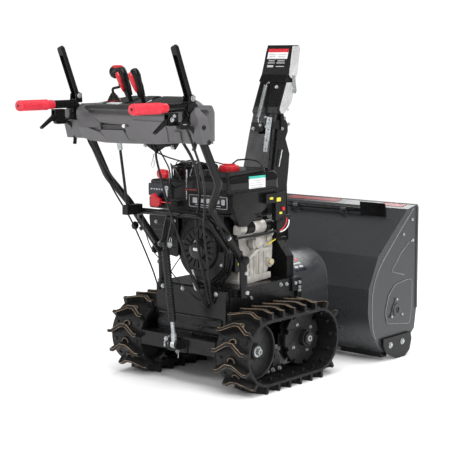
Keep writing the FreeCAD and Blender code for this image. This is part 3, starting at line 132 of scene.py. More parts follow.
# ---------------------------------------------------------------- materials
class Shader:
    """A Principled material under construction, textured in object space."""

    def __init__(self, name):
        self.material = bpy.data.materials.new(name)
        self.material.use_nodes = True
        self.tree = self.material.node_tree
        self.base = self.tree.nodes["Principled BSDF"]
        self.space = self.tree.nodes.new("ShaderNodeTexCoord").outputs["Object"]

    def set(self, **values):
        for key, value in values.items():
            self.base.inputs[key.replace("_", " ")].default_value = value

    def node(self, kind, **values):
        made = self.tree.nodes.new(kind)
        for key, value in values.items():
            setattr(made, key, value)
        return made

    def link(self, source, target):
        self.tree.links.new(source, target)

    def noise(self, scale, detail=3.0):
        made = self.node("ShaderNodeTexNoise")
        made.inputs["Scale"].default_value = scale
        made.inputs["Detail"].default_value = detail
        made.inputs["Roughness"].default_value = 0.55
        self.link(self.space, made.inputs["Vector"])
        return made.outputs["Fac"]

    def ramp(self, factor, stops):
        made = self.node("ShaderNodeValToRGB")
        for element, (place, colour) in zip(made.color_ramp.elements, stops):
            element.position, element.color = place, colour
        self.link(factor, made.inputs["Fac"])
        return made.outputs["Color"]

    def mix(self, factor, one, plain):
        """Colour going over to a plain one with the factor."""
        made = self.node("ShaderNodeMix", data_type="RGBA")
        factor_in, colour_in, plain_in = made.inputs[0], made.inputs[6], made.inputs[7]
        self.link(factor, factor_in)
        self.link(one, colour_in)
        plain_in.default_value = plain
        return made.outputs[2]

    def spread(self, factor, low, high, start=0.3, end=0.7):
        made = self.node("ShaderNodeMapRange")
        made.inputs["From Min"].default_value = start
        made.inputs["From Max"].default_value = end
        made.inputs["To Min"].default_value = low
        made.inputs["To Max"].default_value = high
        self.link(factor, made.inputs["Value"])
        return made.outputs["Result"]

    def softened(self, radius):
        """Normal of the surface with its edges rounded off."""
        made = self.node("ShaderNodeBevel", samples=6)
        made.inputs["Radius"].default_value = radius
        return made.outputs["Normal"]

    def edges(self, radius):
        """How far the surface turns within the radius: 0 on flats, towards 1 on edges."""
        flat = self.node("ShaderNodeNewGeometry")
        dot = self.node("ShaderNodeVectorMath", operation="DOT_PRODUCT")
        self.link(self.softened(radius), dot.inputs[0])
        self.link(flat.outputs["Normal"], dot.inputs[1])
        return self.spread(dot.outputs["Value"], 1.0, 0.0, 0.80, 0.995)

    def bump(self, height, distance, strength, edge):
        """Fine relief over softened edges."""
        made = self.node("ShaderNodeBump")
        made.inputs["Strength"].default_value = strength
        made.inputs["Distance"].default_value = distance
        self.link(height, made.inputs["Height"])
        self.link(self.softened(edge), made.inputs["Normal"])
        self.link(made.outputs["Normal"], self.base.inputs["Normal"])


def grey(value, cool=0.0):
    """Grey of a given brightness, bluer when cool."""
    return (value * (1.0 - cool), value, value * (1.0 + cool), 1.0)


def finish_shader(name, dark, light, patch, rough, grain, depth, edge=0.0012, edge_wear_and_highlight=None, metal=0.0, **more):
    """General finish: colour drifting between two tones, uneven gloss, fine grain, softened edges lightened
    as wear and as a painted highlight.
    """
    s = Shader(name)
    s.set(Metallic=metal, **more)
    colour = s.ramp(s.noise(patch, 4.0), [(0.35, dark), (0.65, light)])
    # Edges go over to a lighter colour: partly wear, partly a painted highlight along every edge.
    if edge_wear_and_highlight:
        colour = s.mix(s.edges(edge * 0.8), colour, edge_wear_and_highlight)
    s.link(colour, s.base.inputs["Base Color"])
    s.link(s.spread(s.noise(patch * 2.3, 5.0), rough[0], rough[1]), s.base.inputs["Roughness"])
    s.bump(s.noise(grain, 2.0), depth, 0.6, edge)
    return s.material


def floor_material():
    s = Shader("studio_floor")
    tone = s.ramp(s.noise(3.0), [(0.3, (0.88, 0.88, 0.88, 1)), (0.7, (0.90, 0.90, 0.90, 1))])
    s.link(tone, s.base.inputs["Base Color"])
    s.set(Roughness=0.85, Specular_IOR_Level=0.1)
    return s.material


def make_materials():
    made = {}

    def keep(name, *args, **kwargs):
        made[name] = finish_shader(name, *args, **kwargs)

    def label(name, dark, light, gloss=(0.30, 0.42)):
        keep(name, dark, light, 30, gloss, 900, 0.00001)

    keep("black_paint", grey(0.0045), grey(0.0070), 9, (0.20, 0.30), 900, 0.00004, 0.0012, grey(0.030),
         Specular_IOR_Level=0.24)
    keep("gunmetal_paint", grey(0.036, 0.07), grey(0.040, 0.07), 4, (0.26, 0.30), 1200, 0.00001, 0.0018,
         grey(0.16), 0.15)
    # Light copy of the gunmetal paint for beads along the bucket's pressed lines: painted highlight.
    keep("gunmetal_edge", grey(0.20, 0.03), grey(0.26, 0.03), 8, (0.22, 0.30), 1200, 0.00001)
    keep("console_grey", (0.086, 0.083, 0.087, 1), (0.096, 0.092, 0.097, 1), 12, (0.36, 0.48), 1500,
         0.00006, 0.003, grey(0.15))
    keep("console_dark", grey(0.018), grey(0.025), 12, (0.34, 0.46), 1500, 0.00006, 0.003, grey(0.04))
    keep("black_plastic", grey(0.0050), grey(0.0085), 14, (0.24, 0.36), 1600, 0.00005, 0.0012, grey(0.028),
         Specular_IOR_Level=0.22)
    keep("tank_black", grey(0.0040), grey(0.0060), 8, (0.08, 0.14), 1500, 0.00001, 0.003, grey(0.016),
         Specular_IOR_Level=0.34)
    keep("red_grip", (0.56, 0.012, 0.030, 1), (0.66, 0.022, 0.045, 1), 40, (0.40, 0.55), 1400, 0.00008)
    keep("red_plastic", (0.48, 0.006, 0.012, 1), (0.58, 0.010, 0.020, 1), 20, (0.25, 0.38), 1200, 0.00004)
    keep("track_rubber", grey(0.0050), grey(0.0100), 30, (0.38, 0.60), 700, 0.00020, 0.0015, grey(0.026),
         Specular_IOR_Level=0.25)
    keep("mould_edge", (0.22, 0.15, 0.09, 1), (0.40, 0.29, 0.19, 1), 90, (0.60, 0.85), 900, 0.00015)
    keep("boot_rubber", grey(0.006), grey(0.010), 30, (0.30, 0.44), 900, 0.00005, 0.0008, None,
         Specular_IOR_Level=0.28)
    keep("cast_alloy", (0.42, 0.40, 0.37, 1), (0.62, 0.59, 0.55, 1), 30, (0.34, 0.55), 500, 0.00025, 0.0015,
         grey(0.85), 0.35)
    # Lighter copy of the black paint for the idlers and sprockets: painted light that lifts them out of the
    # shade in their recesses.
    keep("gear_iron", grey(0.016), grey(0.026), 25, (0.40, 0.60), 500, 0.00025, 0.0015, grey(0.08), 0.3)
    keep("zinc", (0.34, 0.36, 0.37, 1), (0.50, 0.52, 0.53, 1), 60, (0.20, 0.38), 800, 0.00003, 0.0006, None,
         0.6)
    # Bright metal laid on the black flap sides where studio light reflects: painted reflection.
    keep("bright_steel", grey(0.58), grey(0.74), 12, (0.22, 0.36), 900, 0.00002, 0.0008, None, 0.4)
    keep("cable_sheath", grey(0.004), grey(0.008), 40, (0.28, 0.40), 1500, 0.00003, 0.0004, None,
         Specular_IOR_Level=0.28)
    keep("tan_plastic", (0.46, 0.40, 0.25, 1), (0.56, 0.50, 0.33, 1), 60, (0.35, 0.5), 900, 0.00004)
    label("white_label", grey(0.70), grey(0.78), (0.28, 0.40))
    label("pale_mark", grey(0.42), grey(0.52))
    label("teal_label", (0.03, 0.42, 0.33, 1), (0.04, 0.50, 0.40, 1))
    label("navy_label", (0.005, 0.008, 0.016, 1), (0.008, 0.012, 0.022, 1), (0.18, 0.28))
    keep("yellow_mark", (0.66, 0.56, 0.03, 1), (0.78, 0.68, 0.06, 1), 40, (0.35, 0.5), 900, 0.00002)
    label("red_label", (0.20, 0.030, 0.032, 1), (0.28, 0.045, 0.046, 1), (0.30, 0.44))
    return made


MATERIALS = make_materials()
# The idlers and sprockets are black paint, given a lighter copy of it as painted light.
SPECIAL_NODES = {"bearing_flanges": "gunmetal_paint", "right_idler": "gear_iron", "left_idler": "gear_iron",
                 "right_sprocket": "gear_iron", "left_sprocket": "gear_iron"}
NODE_SLOTS = {row["node"]: row["material_slot"] for row in frame["record"]["subparts"]}
RECORD_SLOT = {slot: slot for slot in NODE_SLOTS.values()}
RECORD_SLOT.update(mould_edge="track_rubber", gear_iron="black_paint", bright_steel="zinc",
                   console_dark="black_plastic", tank_black="black_plastic", gunmetal_edge="gunmetal_paint",
                   yellow_mark="tan_plastic")


def dress_nodes():
    """Give every CAD node the finish of its material slot, apart from the special ones."""
    for name, obj in NODES.items():
        obj.data.materials.clear()
        obj.data.materials.append(MATERIALS[SPECIAL_NODES.get(name, NODE_SLOTS[name])])


# ---------------------------------------------------------------- mesh building
def put(axis, a, b, level):
    """Point at `level` along the axis; a and b are the other two coordinates in order."""
    return Vector({"X": (level, a, b), "Y": (a, level, b), "Z": (a, b, level)}[axis])


def facing(origin, across, up):
    """Local X along `across`, Y along `up`, Z outwards, at the origin."""
    x = Vector(across).normalized()
    z = x.cross(Vector(up)).normalized()
    y = z.cross(x)
    return Matrix.Translation(origin) @ Matrix((x, y, z)).transposed().to_4x4()


def rearward(x, y, z):
    """Local frame looking at the operator: X to the right, Y up."""
    return facing((x, y, z), (1, 0, 0), (0, 0, 1))


def rightward(x, y, z):
    """Local frame looking right: X forward, Y up."""
    return facing((x, y, z), (0, 1, 0), (0, 0, 1))


def rounded(points, radius, steps=3):
    """Outline with its corners replaced by short arcs."""
    out = []
    count = len(points)
    for i in range(count):
        here = Vector(points[i])
        before = Vector(points[i - 1]) - here
        after = Vector(points[(i + 1) % count]) - here
        reach = min(radius, before.length * 0.45, after.length * 0.45)
        a, b = here + before.normalized() * reach, here + after.normalized() * reach
        for k in range(steps + 1):
            t = k / steps
            out.append(tuple((1 - t) ** 2 * a + 2 * t * (1 - t) * here + t ** 2 * b))
    return out


def arc(axis, centre, radius, start, end, level=0.0, steps=10):
    """Points on a circle about the axis, angles in degrees."""
    out = []
    for k in range(steps + 1):
        t = math.radians(start + (end - start) * k / steps)
        out.append(put(axis, centre[0] + radius * math.cos(t), centre[1] + radius * math.sin(t), level))
    return out


def around(count, start=0.0):
    """Cosine and sine at equal steps round a circle, from a start in degrees."""
    first = math.radians(start)
    turns = [first + 2 * math.pi * k / count for k in range(count)]
    return [(math.cos(t), math.sin(t)) for t in turns]


def loaf(cx, cy, a, b, z, power=5.0, count=72):
    """Rounded rectangle of half sizes a and b at height z."""
    def swell(value):
        return math.copysign(abs(value) ** (2 / power), value)

    return [(cx + a * swell(c), cy + b * swell(s), z) for c, s in around(count)]


def oval(x, y, a, b, z, count=28):
    """Ellipse of half sizes a and b at height z."""
    return [(x + a * c, y + b * s, z) for c, s in around(count)]


def teardrop(a, b, z, count=28):
    """Oval that narrows towards its foot."""
    return [(a * (0.78 + 0.22 * s) * c, b * s, z) for c, s in around(count)]


def curve_through(points, steps=10):
    """Smooth path that passes through every point."""
    points = [Vector(p) for p in points]
    ends = [points[0]] + points + [points[-1]]
    path = []
    for before, a, b, after in zip(ends, ends[1:], ends[2:], ends[3:]):
        for k in range(steps):
            t = k / steps
            path.append(0.5 * (2 * a + (b - before) * t + (2 * before - 5 * a + 4 * b - after) * t * t
                               + (3 * a - before - 3 * b + after) * t ** 3))
    return path + [points[-1]]


class Shape:
    """Geometry of one piece, gathered in millimetres."""

    def __init__(self, place=None):
        self.mesh = bmesh.new()
        self.place = place or Matrix.Identity(4)

    def at(self, place=None):
        """Later parts are drawn in this local frame."""
        self.place = place or Matrix.Identity(4)
        return self

    def vert(self, point):
        return self.mesh.verts.new(self.place @ Vector(point))

    def skin(self, loops):
        """Faces between each loop of corners and the next."""
        for one, two in zip(loops, loops[1:]):
            count = len(one)
            for k in range(count):
                m = (k + 1) % count
                self.mesh.faces.new((one[k], one[m], two[m], two[k]))

    def rings(self, rows, closed=False):
        """Skin between rows of points; the rows are loops. Ends are capped unless closed."""
        made = [[self.vert(p) for p in row] for row in rows]
        self.skin(made + made[:1] if closed else made)
        if not closed:
            self.mesh.faces.new(list(reversed(made[0])))
            self.mesh.faces.new(made[-1])
        return self

    def cover(self, outside, inside):
        """Thin shell open at its first rows: outer skin, inner skin, capped at the last rows."""
        outer = [[self.vert(p) for p in row] for row in outside]
        inner = [[self.vert(p) for p in row] for row in inside]
        for rows in (outer, inner, [outer[0], inner[0]]):
            self.skin(rows)
        self.mesh.faces.new(outer[-1])
        self.mesh.faces.new(inner[-1])
        return self

    def prism(self, axis, outline, low, high):
        return self.rings([[put(axis, a, b, level) for a, b in outline] for level in (low, high)])

    def plate(self, axis, outline, corner, low, high, steps=3):
        """Prism with rounded corners."""
        return self.prism(axis, rounded(outline, corner, steps), low, high)

    def block(self, x0, x1, y0, y1, z0, z1):
        return self.prism("Z", [(x0, y0), (x1, y0), (x1, y1), (x0, y1)], z0, z1)

    def slab(self, width, height, depth, corner=2.0, x=0.0, y=0.0, sink=1.0):
        """Thin plate on the local XY plane, from `sink` below it to `depth` above."""
        w, h = width / 2, height / 2
        outline = [(x - w, y - h), (x + w, y - h), (x + w, y + h), (x - w, y + h)]
        return self.plate("Z", outline, corner, -sink, depth)

    def lathe(self, axis, centre, profile, steps=24, turn=0.0, ring=False):
        """Solid of revolution of (radius, level) pairs; a ring's profile closes on itself."""
        rows = []
        for radius, level in profile:
            rows.append([put(axis, centre[0] + radius * c, centre[1] + radius * s, level)
                         for c, s in around(steps, turn)])
        return self.rings(rows, ring)

    def sweep(self, points, radius, sides=8, closed=False):
        """Round bar along the points; radius may be one number or one per point."""
        points = [Vector(p) for p in points]
        count = len(points)
        sizes = radius if isinstance(radius, (list, tuple)) else [radius] * count
        rows = []
        side = None
        for i, here in enumerate(points):
            if closed:
                along = points[(i + 1) % count] - points[i - 1]
            else:
                along = points[min(i + 1, count - 1)] - points[max(i - 1, 0)]
            along.normalize()
            if side is None:
                side = along.orthogonal().normalized()
            side = (side - along * side.dot(along)).normalized()
            other = along.cross(side)
            rows.append([here + sizes[i] * (c * side + s * other) for c, s in around(sides)])
        return self.rings(rows, closed)

    def bolt(self, axis, centre, level, size, side=1, height=None, washer=1.35, hole=False):
        """Hexagon head on a round washer, standing `side` along the axis from the level."""
        tall = height or size * 0.75
        base = max(1.2, size * 0.14)
        a, b, c = level, level + side * base, level + side * (base + tall)
        if washer:
            wide = size * washer
            rim = [(wide * 0.96, a), (wide, a + side * 0.3), (wide, b - side * 0.4), (wide * 0.95, b)]
            self.lathe(axis, centre, rim, 24)
        head = [(size, b - side * 0.4), (size, c - side * tall * 0.25), (size * 0.86, c)]
        if hole:
            head += [(size * 0.55, c), (size * 0.5, c - side * tall * 0.5)]
        self.lathe(axis, centre, head, 6, 15)

    def bolts(self, axis, centres, *head):
        """The same bolt at every centre."""
        for centre in centres:
            self.bolt(axis, centre, *head)

    def spring(self, start, end, radius, wire, turns, per=12):
        """Close-wound coil between two points."""
        start, end = Vector(start), Vector(end)
        along = end - start
        side = along.orthogonal().normalized()
        other = along.normalized().cross(side)
        count = turns * per
        path = []
        for k in range(count + 1):
            t = 2 * math.pi * k / per
            path.append(start + along * k / count + radius * (math.cos(t) * side + math.sin(t) * other))
        return self.sweep(path, wire, 6)

    def solid(self, name):
        """The finished mesh in metres, as an object."""
        bmesh.ops.recalc_face_normals(self.mesh, faces=self.mesh.faces)
        bmesh.ops.scale(self.mesh, vec=(MM, MM, MM), verts=self.mesh.verts)
        data = bpy.data.meshes.new(name)
        self.mesh.to_mesh(data)
        self.mesh.free()
        return add_object(name, data)

    def finish(self, name, material, body="machine", slot="own", bevel=0.0, replaces=None):
        """Turn the geometry into a piece that rides on a CAD body."""
        piece = self.solid(name)
        piece.data.materials.append(MATERIALS[material])
        piece.data.shade_smooth()
        piece.data.set_sharp_from_angle(angle=SHARP)
        if bevel:
            soften = piece.modifiers.new("soft_edges", "BEVEL")
            soften.width = bevel * MM
            soften.segments = 2
            soften.limit_method = "ANGLE"
            soften.angle_limit = SHARP
            soften.harden_normals = False
        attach(piece, body)
        if slot == "own":
            slot = RECORD_SLOT.get(material)
        if replaces:
            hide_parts(replaces)
        return piece


def carve(piece, tool):
    """Cut the tool's volume out of the piece and keep the result as plain mesh."""
    cutter = tool.solid("carve_tool")
    change = piece.modifiers.new("carve", "BOOLEAN")
    change.operation = "DIFFERENCE"
    change.object = cutter
    change.solver = "EXACT"
    bpy.context.view_layer.update()
    graph = bpy.context.evaluated_depsgraph_get()
    result = bpy.data.meshes.new_from_object(piece.evaluated_get(graph))
    piece.modifiers.clear()
    spent = (piece.data, cutter.data)
    piece.data = result
    bpy.data.objects.remove(cutter)
    for mesh in spent:
        bpy.data.meshes.remove(mesh)
    result.set_sharp_from_angle(angle=SHARP)


def wire(name, radius, points, material="cable_sheath", slot="cable_sheath"):
    """Thin smooth wire on the machine, held at both ends."""
    data = bpy.data.curves.new(name, "CURVE")
    data.dimensions = "3D"
    data.bevel_depth = radius * MM
    data.bevel_resolution = 2
    data.resolution_u = 10
    data.use_fill_caps = True
    line = data.splines.new("NURBS")
    line.points.add(len(points) - 1)
    for place, point in zip(line.points, points):
        place.co = (point[0] * MM, point[1] * MM, point[2] * MM, 1.0)
    line.order_u = 3
    line.use_endpoint_u = True
    piece = add_object(name, data)
    data.materials.append(MATERIALS[material])
    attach(piece, "machine")


# ---------------------------------------------------------------- tracks
GROUSERS = 21
BELT_R, GROUSER_H = 117.0, 25.0
AXLE_FRONT, AXLE_REAR, AXLE_Z = 145.0, -146.0, 142.0
TRACK_X, BELT_HALF = 255.0, 72.0
FRONT_AXLE, REAR_AXLE = (AXLE_FRONT, AXLE_Z), (AXLE_REAR, AXLE_Z)


def belt_frame(share, side):
    """Local frame on the belt's outer face, X across and Z outwards, and the angle that it faces."""
    straight = AXLE_FRONT - AXLE_REAR
    half = straight + math.pi * BELT_R
    lower, s = divmod((share % 1.0) * 2 * half, half)
    way = -1 if lower else 1
    turn = 90.0 * way - math.degrees(max(0.0, s - straight) / BELT_R)
    start = AXLE_FRONT if lower else AXLE_REAR
    y = start + way * min(s, straight) + BELT_R * math.cos(math.radians(turn))
    z = AXLE_Z + BELT_R * math.sin(math.radians(turn))
    return Matrix.Translation((side * TRACK_X, y, z)) @ Matrix.Rotation(math.radians(turn - 90.0), 4,
                                                                        "X"), turn


def chevron(bend, tip, low, high):
    """Mould line across a grouser's top, from its level ends up to its flat tip."""
    top = GROUSER_H - 0.8
    half = [(tip, high, top), (bend, low, top), (BELT_HALF, low, top)]
    return [(-x, y, z) for x, y, z in reversed(half)] + half


def add_track_details():
    bumps, flash, ribs = Shape(), Shape(), Shape()
    front_line, back_line = chevron(58, 15, -9.6, 18.4), chevron(56, 12, -19.4, 7.4)
    for side in (-1, 1):
        for k in range(GROUSERS):
            place, turn = belt_frame((k + 0.5) / GROUSERS, side)
            grounded = abs(turn + 90.0) < 24
            if not grounded:
                flash.at(place).sweep(front_line, 1.1, 5)
                flash.sweep(back_line, 1.0, 5)
            ribs.at(place).prism("Y", [(-71, -9), (71, -9), (69, -12.4), (-69, -12.4)], -6, 6)
            for x in (42, -54):
                ribs.prism("Y", [(x - 7, -9), (x + 7, -9), (x + 4, -22), (x - 4, -22)], -5, 5)
            between, _ = belt_frame((k + 0.97) / GROUSERS, side)
            arch = arc("Z", (0, -12), 15, 200, -20, 1.5, 8)
            bumps.at(between).sweep(arch, [2.5, 5.5, 6, 6, 6, 6, 6, 5.5, 2.5], 8)
            for x in (-52, 52):
                bumps.lathe("Z", (x, -4), [(7, -1), (6, 3.4), (3.5, 4)], 8)
            if not grounded:
                flash.at(between).sweep(arc("Z", (0, -12), 15, 190, -10, 6.6, 8), 1.1, 5)
    bumps.finish("track_bumps", "track_rubber", "undercarriage")
    flash.finish("track_mould_lines", "mould_edge", "undercarriage")
    ribs.finish("track_inner_ribs", "track_rubber", "undercarriage", bevel=0.8)


def add_idler_details(side, name):
    dome = Shape()
    for k in range(6):
        t0 = 60 * k + 12
        inner = arc("X", REAR_AXLE, 46, t0, t0 + 5, side * 254.2, 1)
        outer = arc("X", REAR_AXLE, 76, t0 + 16, t0 + 18, side * 251.8, 1)
        dome.sweep([inner[0], (inner[1] + outer[0]) / 2 + Vector((side * 0.6, 0, 0)), outer[1]], 2.2, 6)
    rim = ((100.2, 262), (101.2, 266), (101.2, 271), (96.5, 273), (94.0, 271), (94.0, 262))
    dome.lathe("X", REAR_AXLE, [(radius, side * x) for radius, x in rim], 48, 0.0, True)
    hub = ((30, 255), (30, 259), (26, 262), (24.6, 270), (22, 271.5))
    dome.lathe("X", REAR_AXLE, [(radius, side * x) for radius, x in hub], 32)
    # Idler face in the lighter copy of black paint: painted light.
    dome.finish(name + "_idler_face", "gear_iron", name + "_idler")
    bolt = Shape()
    bolt.lathe("X", REAR_AXLE, [(19, side * 271), (20, side * 272), (20, side * 275), (18, side * 276)], 28)
    bolt.bolt("X", REAR_AXLE, side * 276, 13, side, 9, None, True)
    bolt.finish(name + "_axle_bolt", "zinc", "undercarriage")


def add_sprocket_details(side, name):
    disc = Shape()
    for k in range(9):
        t0 = 40 * k + 20
        inner = arc("X", FRONT_AXLE, 50, t0, t0 + 4, side * 246.6, 1)
        outer = arc("X", FRONT_AXLE, 78, t0 + 9, t0 + 12, side * 246.6, 1)
        disc.sweep([inner[0], (inner[1] + outer[0]) / 2, outer[1]], 2.0, 6)
    # Sprocket ribs in the lighter copy of black paint: painted light.
    disc.finish(name + "_sprocket_ribs", "gear_iron", name + "_sprocket")
    nuts = Shape()
    nuts.lathe("X", FRONT_AXLE, [(23.5, side * 262.5), (23.5, side * 266), (14, side * 268)], 28)
    nuts.bolt("X", FRONT_AXLE, side * 274, 13, side, 9, 1.3, True)
    for k in range(4):
        t = math.radians(90 * k + 30)
        centre = (AXLE_FRONT + 60 * math.cos(t), AXLE_Z + 60 * math.sin(t))
        nuts.bolt("X", centre, side * 246, 5, side, 4)
    nuts.finish(name + "_sprocket_bolts", "zinc", name + "_sprocket")


def add_wheel_details():
    for side, name in ((1, "right"), (-1, "left")):
        add_idler_details(side, name)
        add_sprocket_details(side, name)


def add_undercarriage_details():
    plates, bolts = Shape(), Shape()
    for side in (-1, 1):
        plates.plate("X", [(-64, 36), (24, 36), (34, 48), (30, 62), (-70, 62), (-74, 50)], 6, side * 236,
                     side * 241)
        plates.plate("X", [(4, 60), (28, 60), (12, 120), (-6, 120)], 5, side * 232, side * 237)
        bolts.bolts("X", ((-52, 49), (-20, 49), (18, 49)), side * 241, 6.5, side, 6)
        bolts.bolt("X", (-244, 154), side * 178.6, 8, side, 6)
        bolts.lathe("X", (-250, 154), [(4.5, side * 178), (4.5, side * 150), (3, side * 148)], 16)
    strut_pin = (-277, 152)
    bolts.lathe("X", strut_pin, [(4.9, -27), (4.9, 27)], 16)
    for inner, outer in ((-24, -21), (21, 24)):
        bolts.lathe("X", strut_pin, [(11, inner), (11, outer)], 20)
    clip = [(25, -277, 160), (25, -278, 140), (25, -282, 128), (25, -290, 124), (25, -296, 132),
            (25, -292, 142), (25, -286, 134), (25, -284, 118), (25, -286, 108)]
    bolts.sweep(clip, 1.3, 6)
    bolts.bolt("Y", (-26, 172), -292, 6, -1, 5)
    bolts.sweep([(-30, -268, 176), (-34, -282, 170), (-34, -292, 158), (-30, -296, 144)], 3.2, 8)
    bolts.finish("undercarriage_bolts", "zinc", "undercarriage")
    plates.plate("Y", [(-44, 124), (48, 124), (52, 140), (48, 168), (-44, 168), (-48, 140)], 6, -266, -262)
    plates.plate("X", [(-262, 136), (-262, 168), (-296, 166), (-304, 150), (-296, 138)], 7, 24, 28)
    plates.finish("undercarriage_plates", "black_paint", "undercarriage", bevel=0.8)


def add_crossbar_hole_shade():
    # Dark discs stand for the crossbar's holes: painted shade.
    holes = Shape()
    for x in (-118, -84, -62, 62, 84, 118):
        holes.lathe("Y", (x, 152), [(4.2, -262.6), (4.0, -261.0)], 14)
    holes.finish("crossbar_hole_shade", "cable_sheath", "undercarriage", slot="black_paint")


# ---------------------------------------------------------------- chute
def add_chute_linkage():
    zinc, black = Shape(), Shape()
    black.plate("X", [(268, 893), (328, 886), (330, 912), (300, 926), (270, 914)], 6, 9.6, 13)
    black.plate("X", [(314, 946), (326, 946), (330, 920), (324, 888), (310, 890), (310, 920)], 4, 9.6, 18)
    black.sweep([(14, 268, 961), (14, 258, 880), (13, 244, 773)], 3.4, 10)
    black.finish("chute_linkage_body", "black_plastic", "chute", bevel=0.6)
    zinc.sweep([(13, 322, 809), (13, 312, 776), (13, 303, 746)], 2.6, 10)
    for y, z, level, size in ((345, 929, 6, 5), (371, 905, 6, 5), (316, 890, 18, 4.5), (262, 716, 9, 4)):
        zinc.bolt("X", (y, z), level, size, 1, 4)
    zinc.finish("chute_linkage_metal", "zinc", "chute")


def add_chute_strip():
    strip = Shape()
    strip.plate("Y", [(4, 938), (26, 936), (3, 804), (-15, 806)], 3, 241.5, 245)
    piece = strip.finish("chute_steel_strip", "zinc", "chute")
    for x, z in ((15, 926), (9, 890), (2, 850), (-5, 816)):
        carve(piece, Shape().lathe("Y", (x, z), [(3.2, 238), (3.2, 249)], 14))


def add_deflector_folds():
    folds = Shape(facing((-56, 352, 1052), (1, 0, 0), (0, 44, 112)))
    for y in (-12, 14):
        folds.prism("X", [(y - 3, -1), (y + 3, -1), (y + 1.5, 2.0), (y - 1.5, 2.0)], -54, 50)
    folds.finish("deflector_folds", "black_paint", "deflector")


def add_deflector_reflections():
    """Bright plates on the sides of the two black flaps, with their pivot rivets: painted reflection of
    studio light on the sheet.
    """
    top_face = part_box("deflector_top")[1][0] / MM
    mid_face = top_face - 2.6
    mid = Shape()
    mid.plate("X", [(312, 962), (322, 946), (346, 950), (384, 985), (409, 1052), (408, 1064), (356, 1064)],
              4, mid_face - 0.5, mid_face + 1.2)
    mid.lathe("X", (364, 960), [(6, mid_face), (6, mid_face + 1.6), (3, mid_face + 2.2)], 18)
    mid.lathe("X", (396, 1044), [(7, mid_face), (7, mid_face + 4), (3, mid_face + 5)], 18)
    mid.finish("deflector_side_reflection", "bright_steel", "deflector", bevel=0.4)
    top = Shape()
    top.plate("X", [(390, 1203), (427, 1203), (436, 1189), (420, 1101), (404, 1080), (381, 1080),
                    (367, 1092)], 4, top_face - 0.5, top_face + 1.2)
    top.lathe("X", (392, 1096), [(7, top_face), (7, top_face + 4), (3, top_face + 5)], 18)
    top.finish("deflector_tip_reflection", "bright_steel", "deflector_tip", bevel=0.4)


def add_chute_spring():
    coil = Shape()
    start, end = Vector((-73, 331, 1052)), Vector((-62, 272, 934))
    coil.spring(start, end, 6.4, 1.5, 26, 10)
    coil.sweep([start, start + Vector((2, 4, 8)), start + Vector((8, 7, 14)), start + Vector((10, 8, 8))],
               1.4, 6)
    coil.sweep([end, end + Vector((1, -3, -8)), end + Vector((4, -5, -20)), end + Vector((10, -4, -24)),
                end + Vector((14, -2, -16))], 1.4, 6)
    coil.bolt("Y", (-27, 1046), 339, 6, -1, 5)
    coil.finish("deflector_spring", "zinc", "deflector")


def add_chute_bracket():
    bracket = Shape()
    bracket.plate("Z", [(-88, 262), (-28, 262), (-28, 284), (-88, 284)], 4, 896, 901)
    bracket.plate("Y", [(-88, 880), (-28, 880), (-28, 914), (-88, 914)], 5, 258, 262)
    bracket.finish("chute_spring_bracket", "black_paint", "chute", bevel=0.8)
    studs = Shape()
    studs.bolt("Y", (-76, 890), 258, 5, -1, 5)
    studs.bolt("Y", (-42, 904), 258, 4.5, -1, 4)
    for z, x in ((936, -6), (900, -4), (862, -6), (820, -10)):
        studs.lathe("Y", (x, z), [(3.8, 250), (3.8, 242), (2.6, 240.5)], 12)
    studs.finish("chute_studs", "zinc", "chute")


def add_chute_label():
    plane = facing((-59, 383.2, 1156.5), (1, 0, 0), (0, 37, 113))
    Shape(plane).slab(98, 84, 1.2, 3, 0, -6, 0.5).finish("chute_sign", "white_label", "deflector_tip")
    Shape(plane).slab(98, 14, 1.6, 2, 0, 30, 0.5).finish("chute_sign_header", "red_plastic",
                                                         "deflector_tip", slot=None)
    marks = Shape(plane)
    for row in range(5):
        for x, width in ((-24, 34), (22, 40)):
            marks.slab(width - 5 * (row % 2), 3.2, 1.7, 0.8, x, 14 - 8.5 * row, 0.4)
    marks.slab(30, 14, 1.7, 2, -26, -36, 0.4)
    for y in (-34, -41):
        marks.slab(40, 3, 1.7, 1, 22, y, 0.4)
    marks.finish("chute_sign_marks", "pale_mark", "deflector_tip")


# ---------------------------------------------------------------- console
LEVERS = ((-60.0, -392.0, "deflector_lever"), (12.0, -405.0, "speed_lever"))
LEVER_PIVOT_Z, LEVER_LEAN = 955.0, math.radians(25)
LEVER_KNOB = ((101, 7, 7, 0), (106, 9, 9, 0), (118, 12, 13, 1), (138, 15, 16, 2), (158, 17, 18, 3),
              (174, 16, 17, 3), (182, 11, 12, 3), (185, 4, 5, 3))
CRANK_KNOB = ((3, 5, 95, 107), (5, 11, 88, 114), (9, 14, 82, 119), (18, 16.5, 79, 121.5),
              (37, 17, 78.5, 122), (56, 16.5, 79, 121.5), (65, 14, 82, 119), (69, 11, 88, 114),
              (71, 5, 95, 107))
CRANK_HEAD = (-150.0, -412.0, 1012.0)
SLOT_LOW, SLOT_HIGH = 985, 1045
REAR_LOW, REAR_HIGH = (-478.0, 884.0), (-500.0, 962.0)
DOME = ((247, 85, 971, -417), (249, 87.5, 974, -417), (249, 87.5, 983, -417), (247, 86, 990, -416.5),
        (241, 83, 996, -415), (230, 76, 1001, -408), (219, 66, 1004.5, -400), (202, 46, 1010, -378),
        (184, 36, 1016, -366), (162, 27, 1022, -357), (138, 18, 1027, -349), (110, 9, 1030, -343))


def dome_height(y):
    """Top of the dome above a point on its middle line, reading its rear slope."""
    rear = [(cy - b, z) for _, b, z, cy in DOME[2:]]
    for (y0, z0), (y1, z1) in zip(rear, rear[1:]):
        if y0 <= y <= y1:
            return z0 + (z1 - z0) * (y - y0) / (y1 - y0)
    return rear[-1][1]


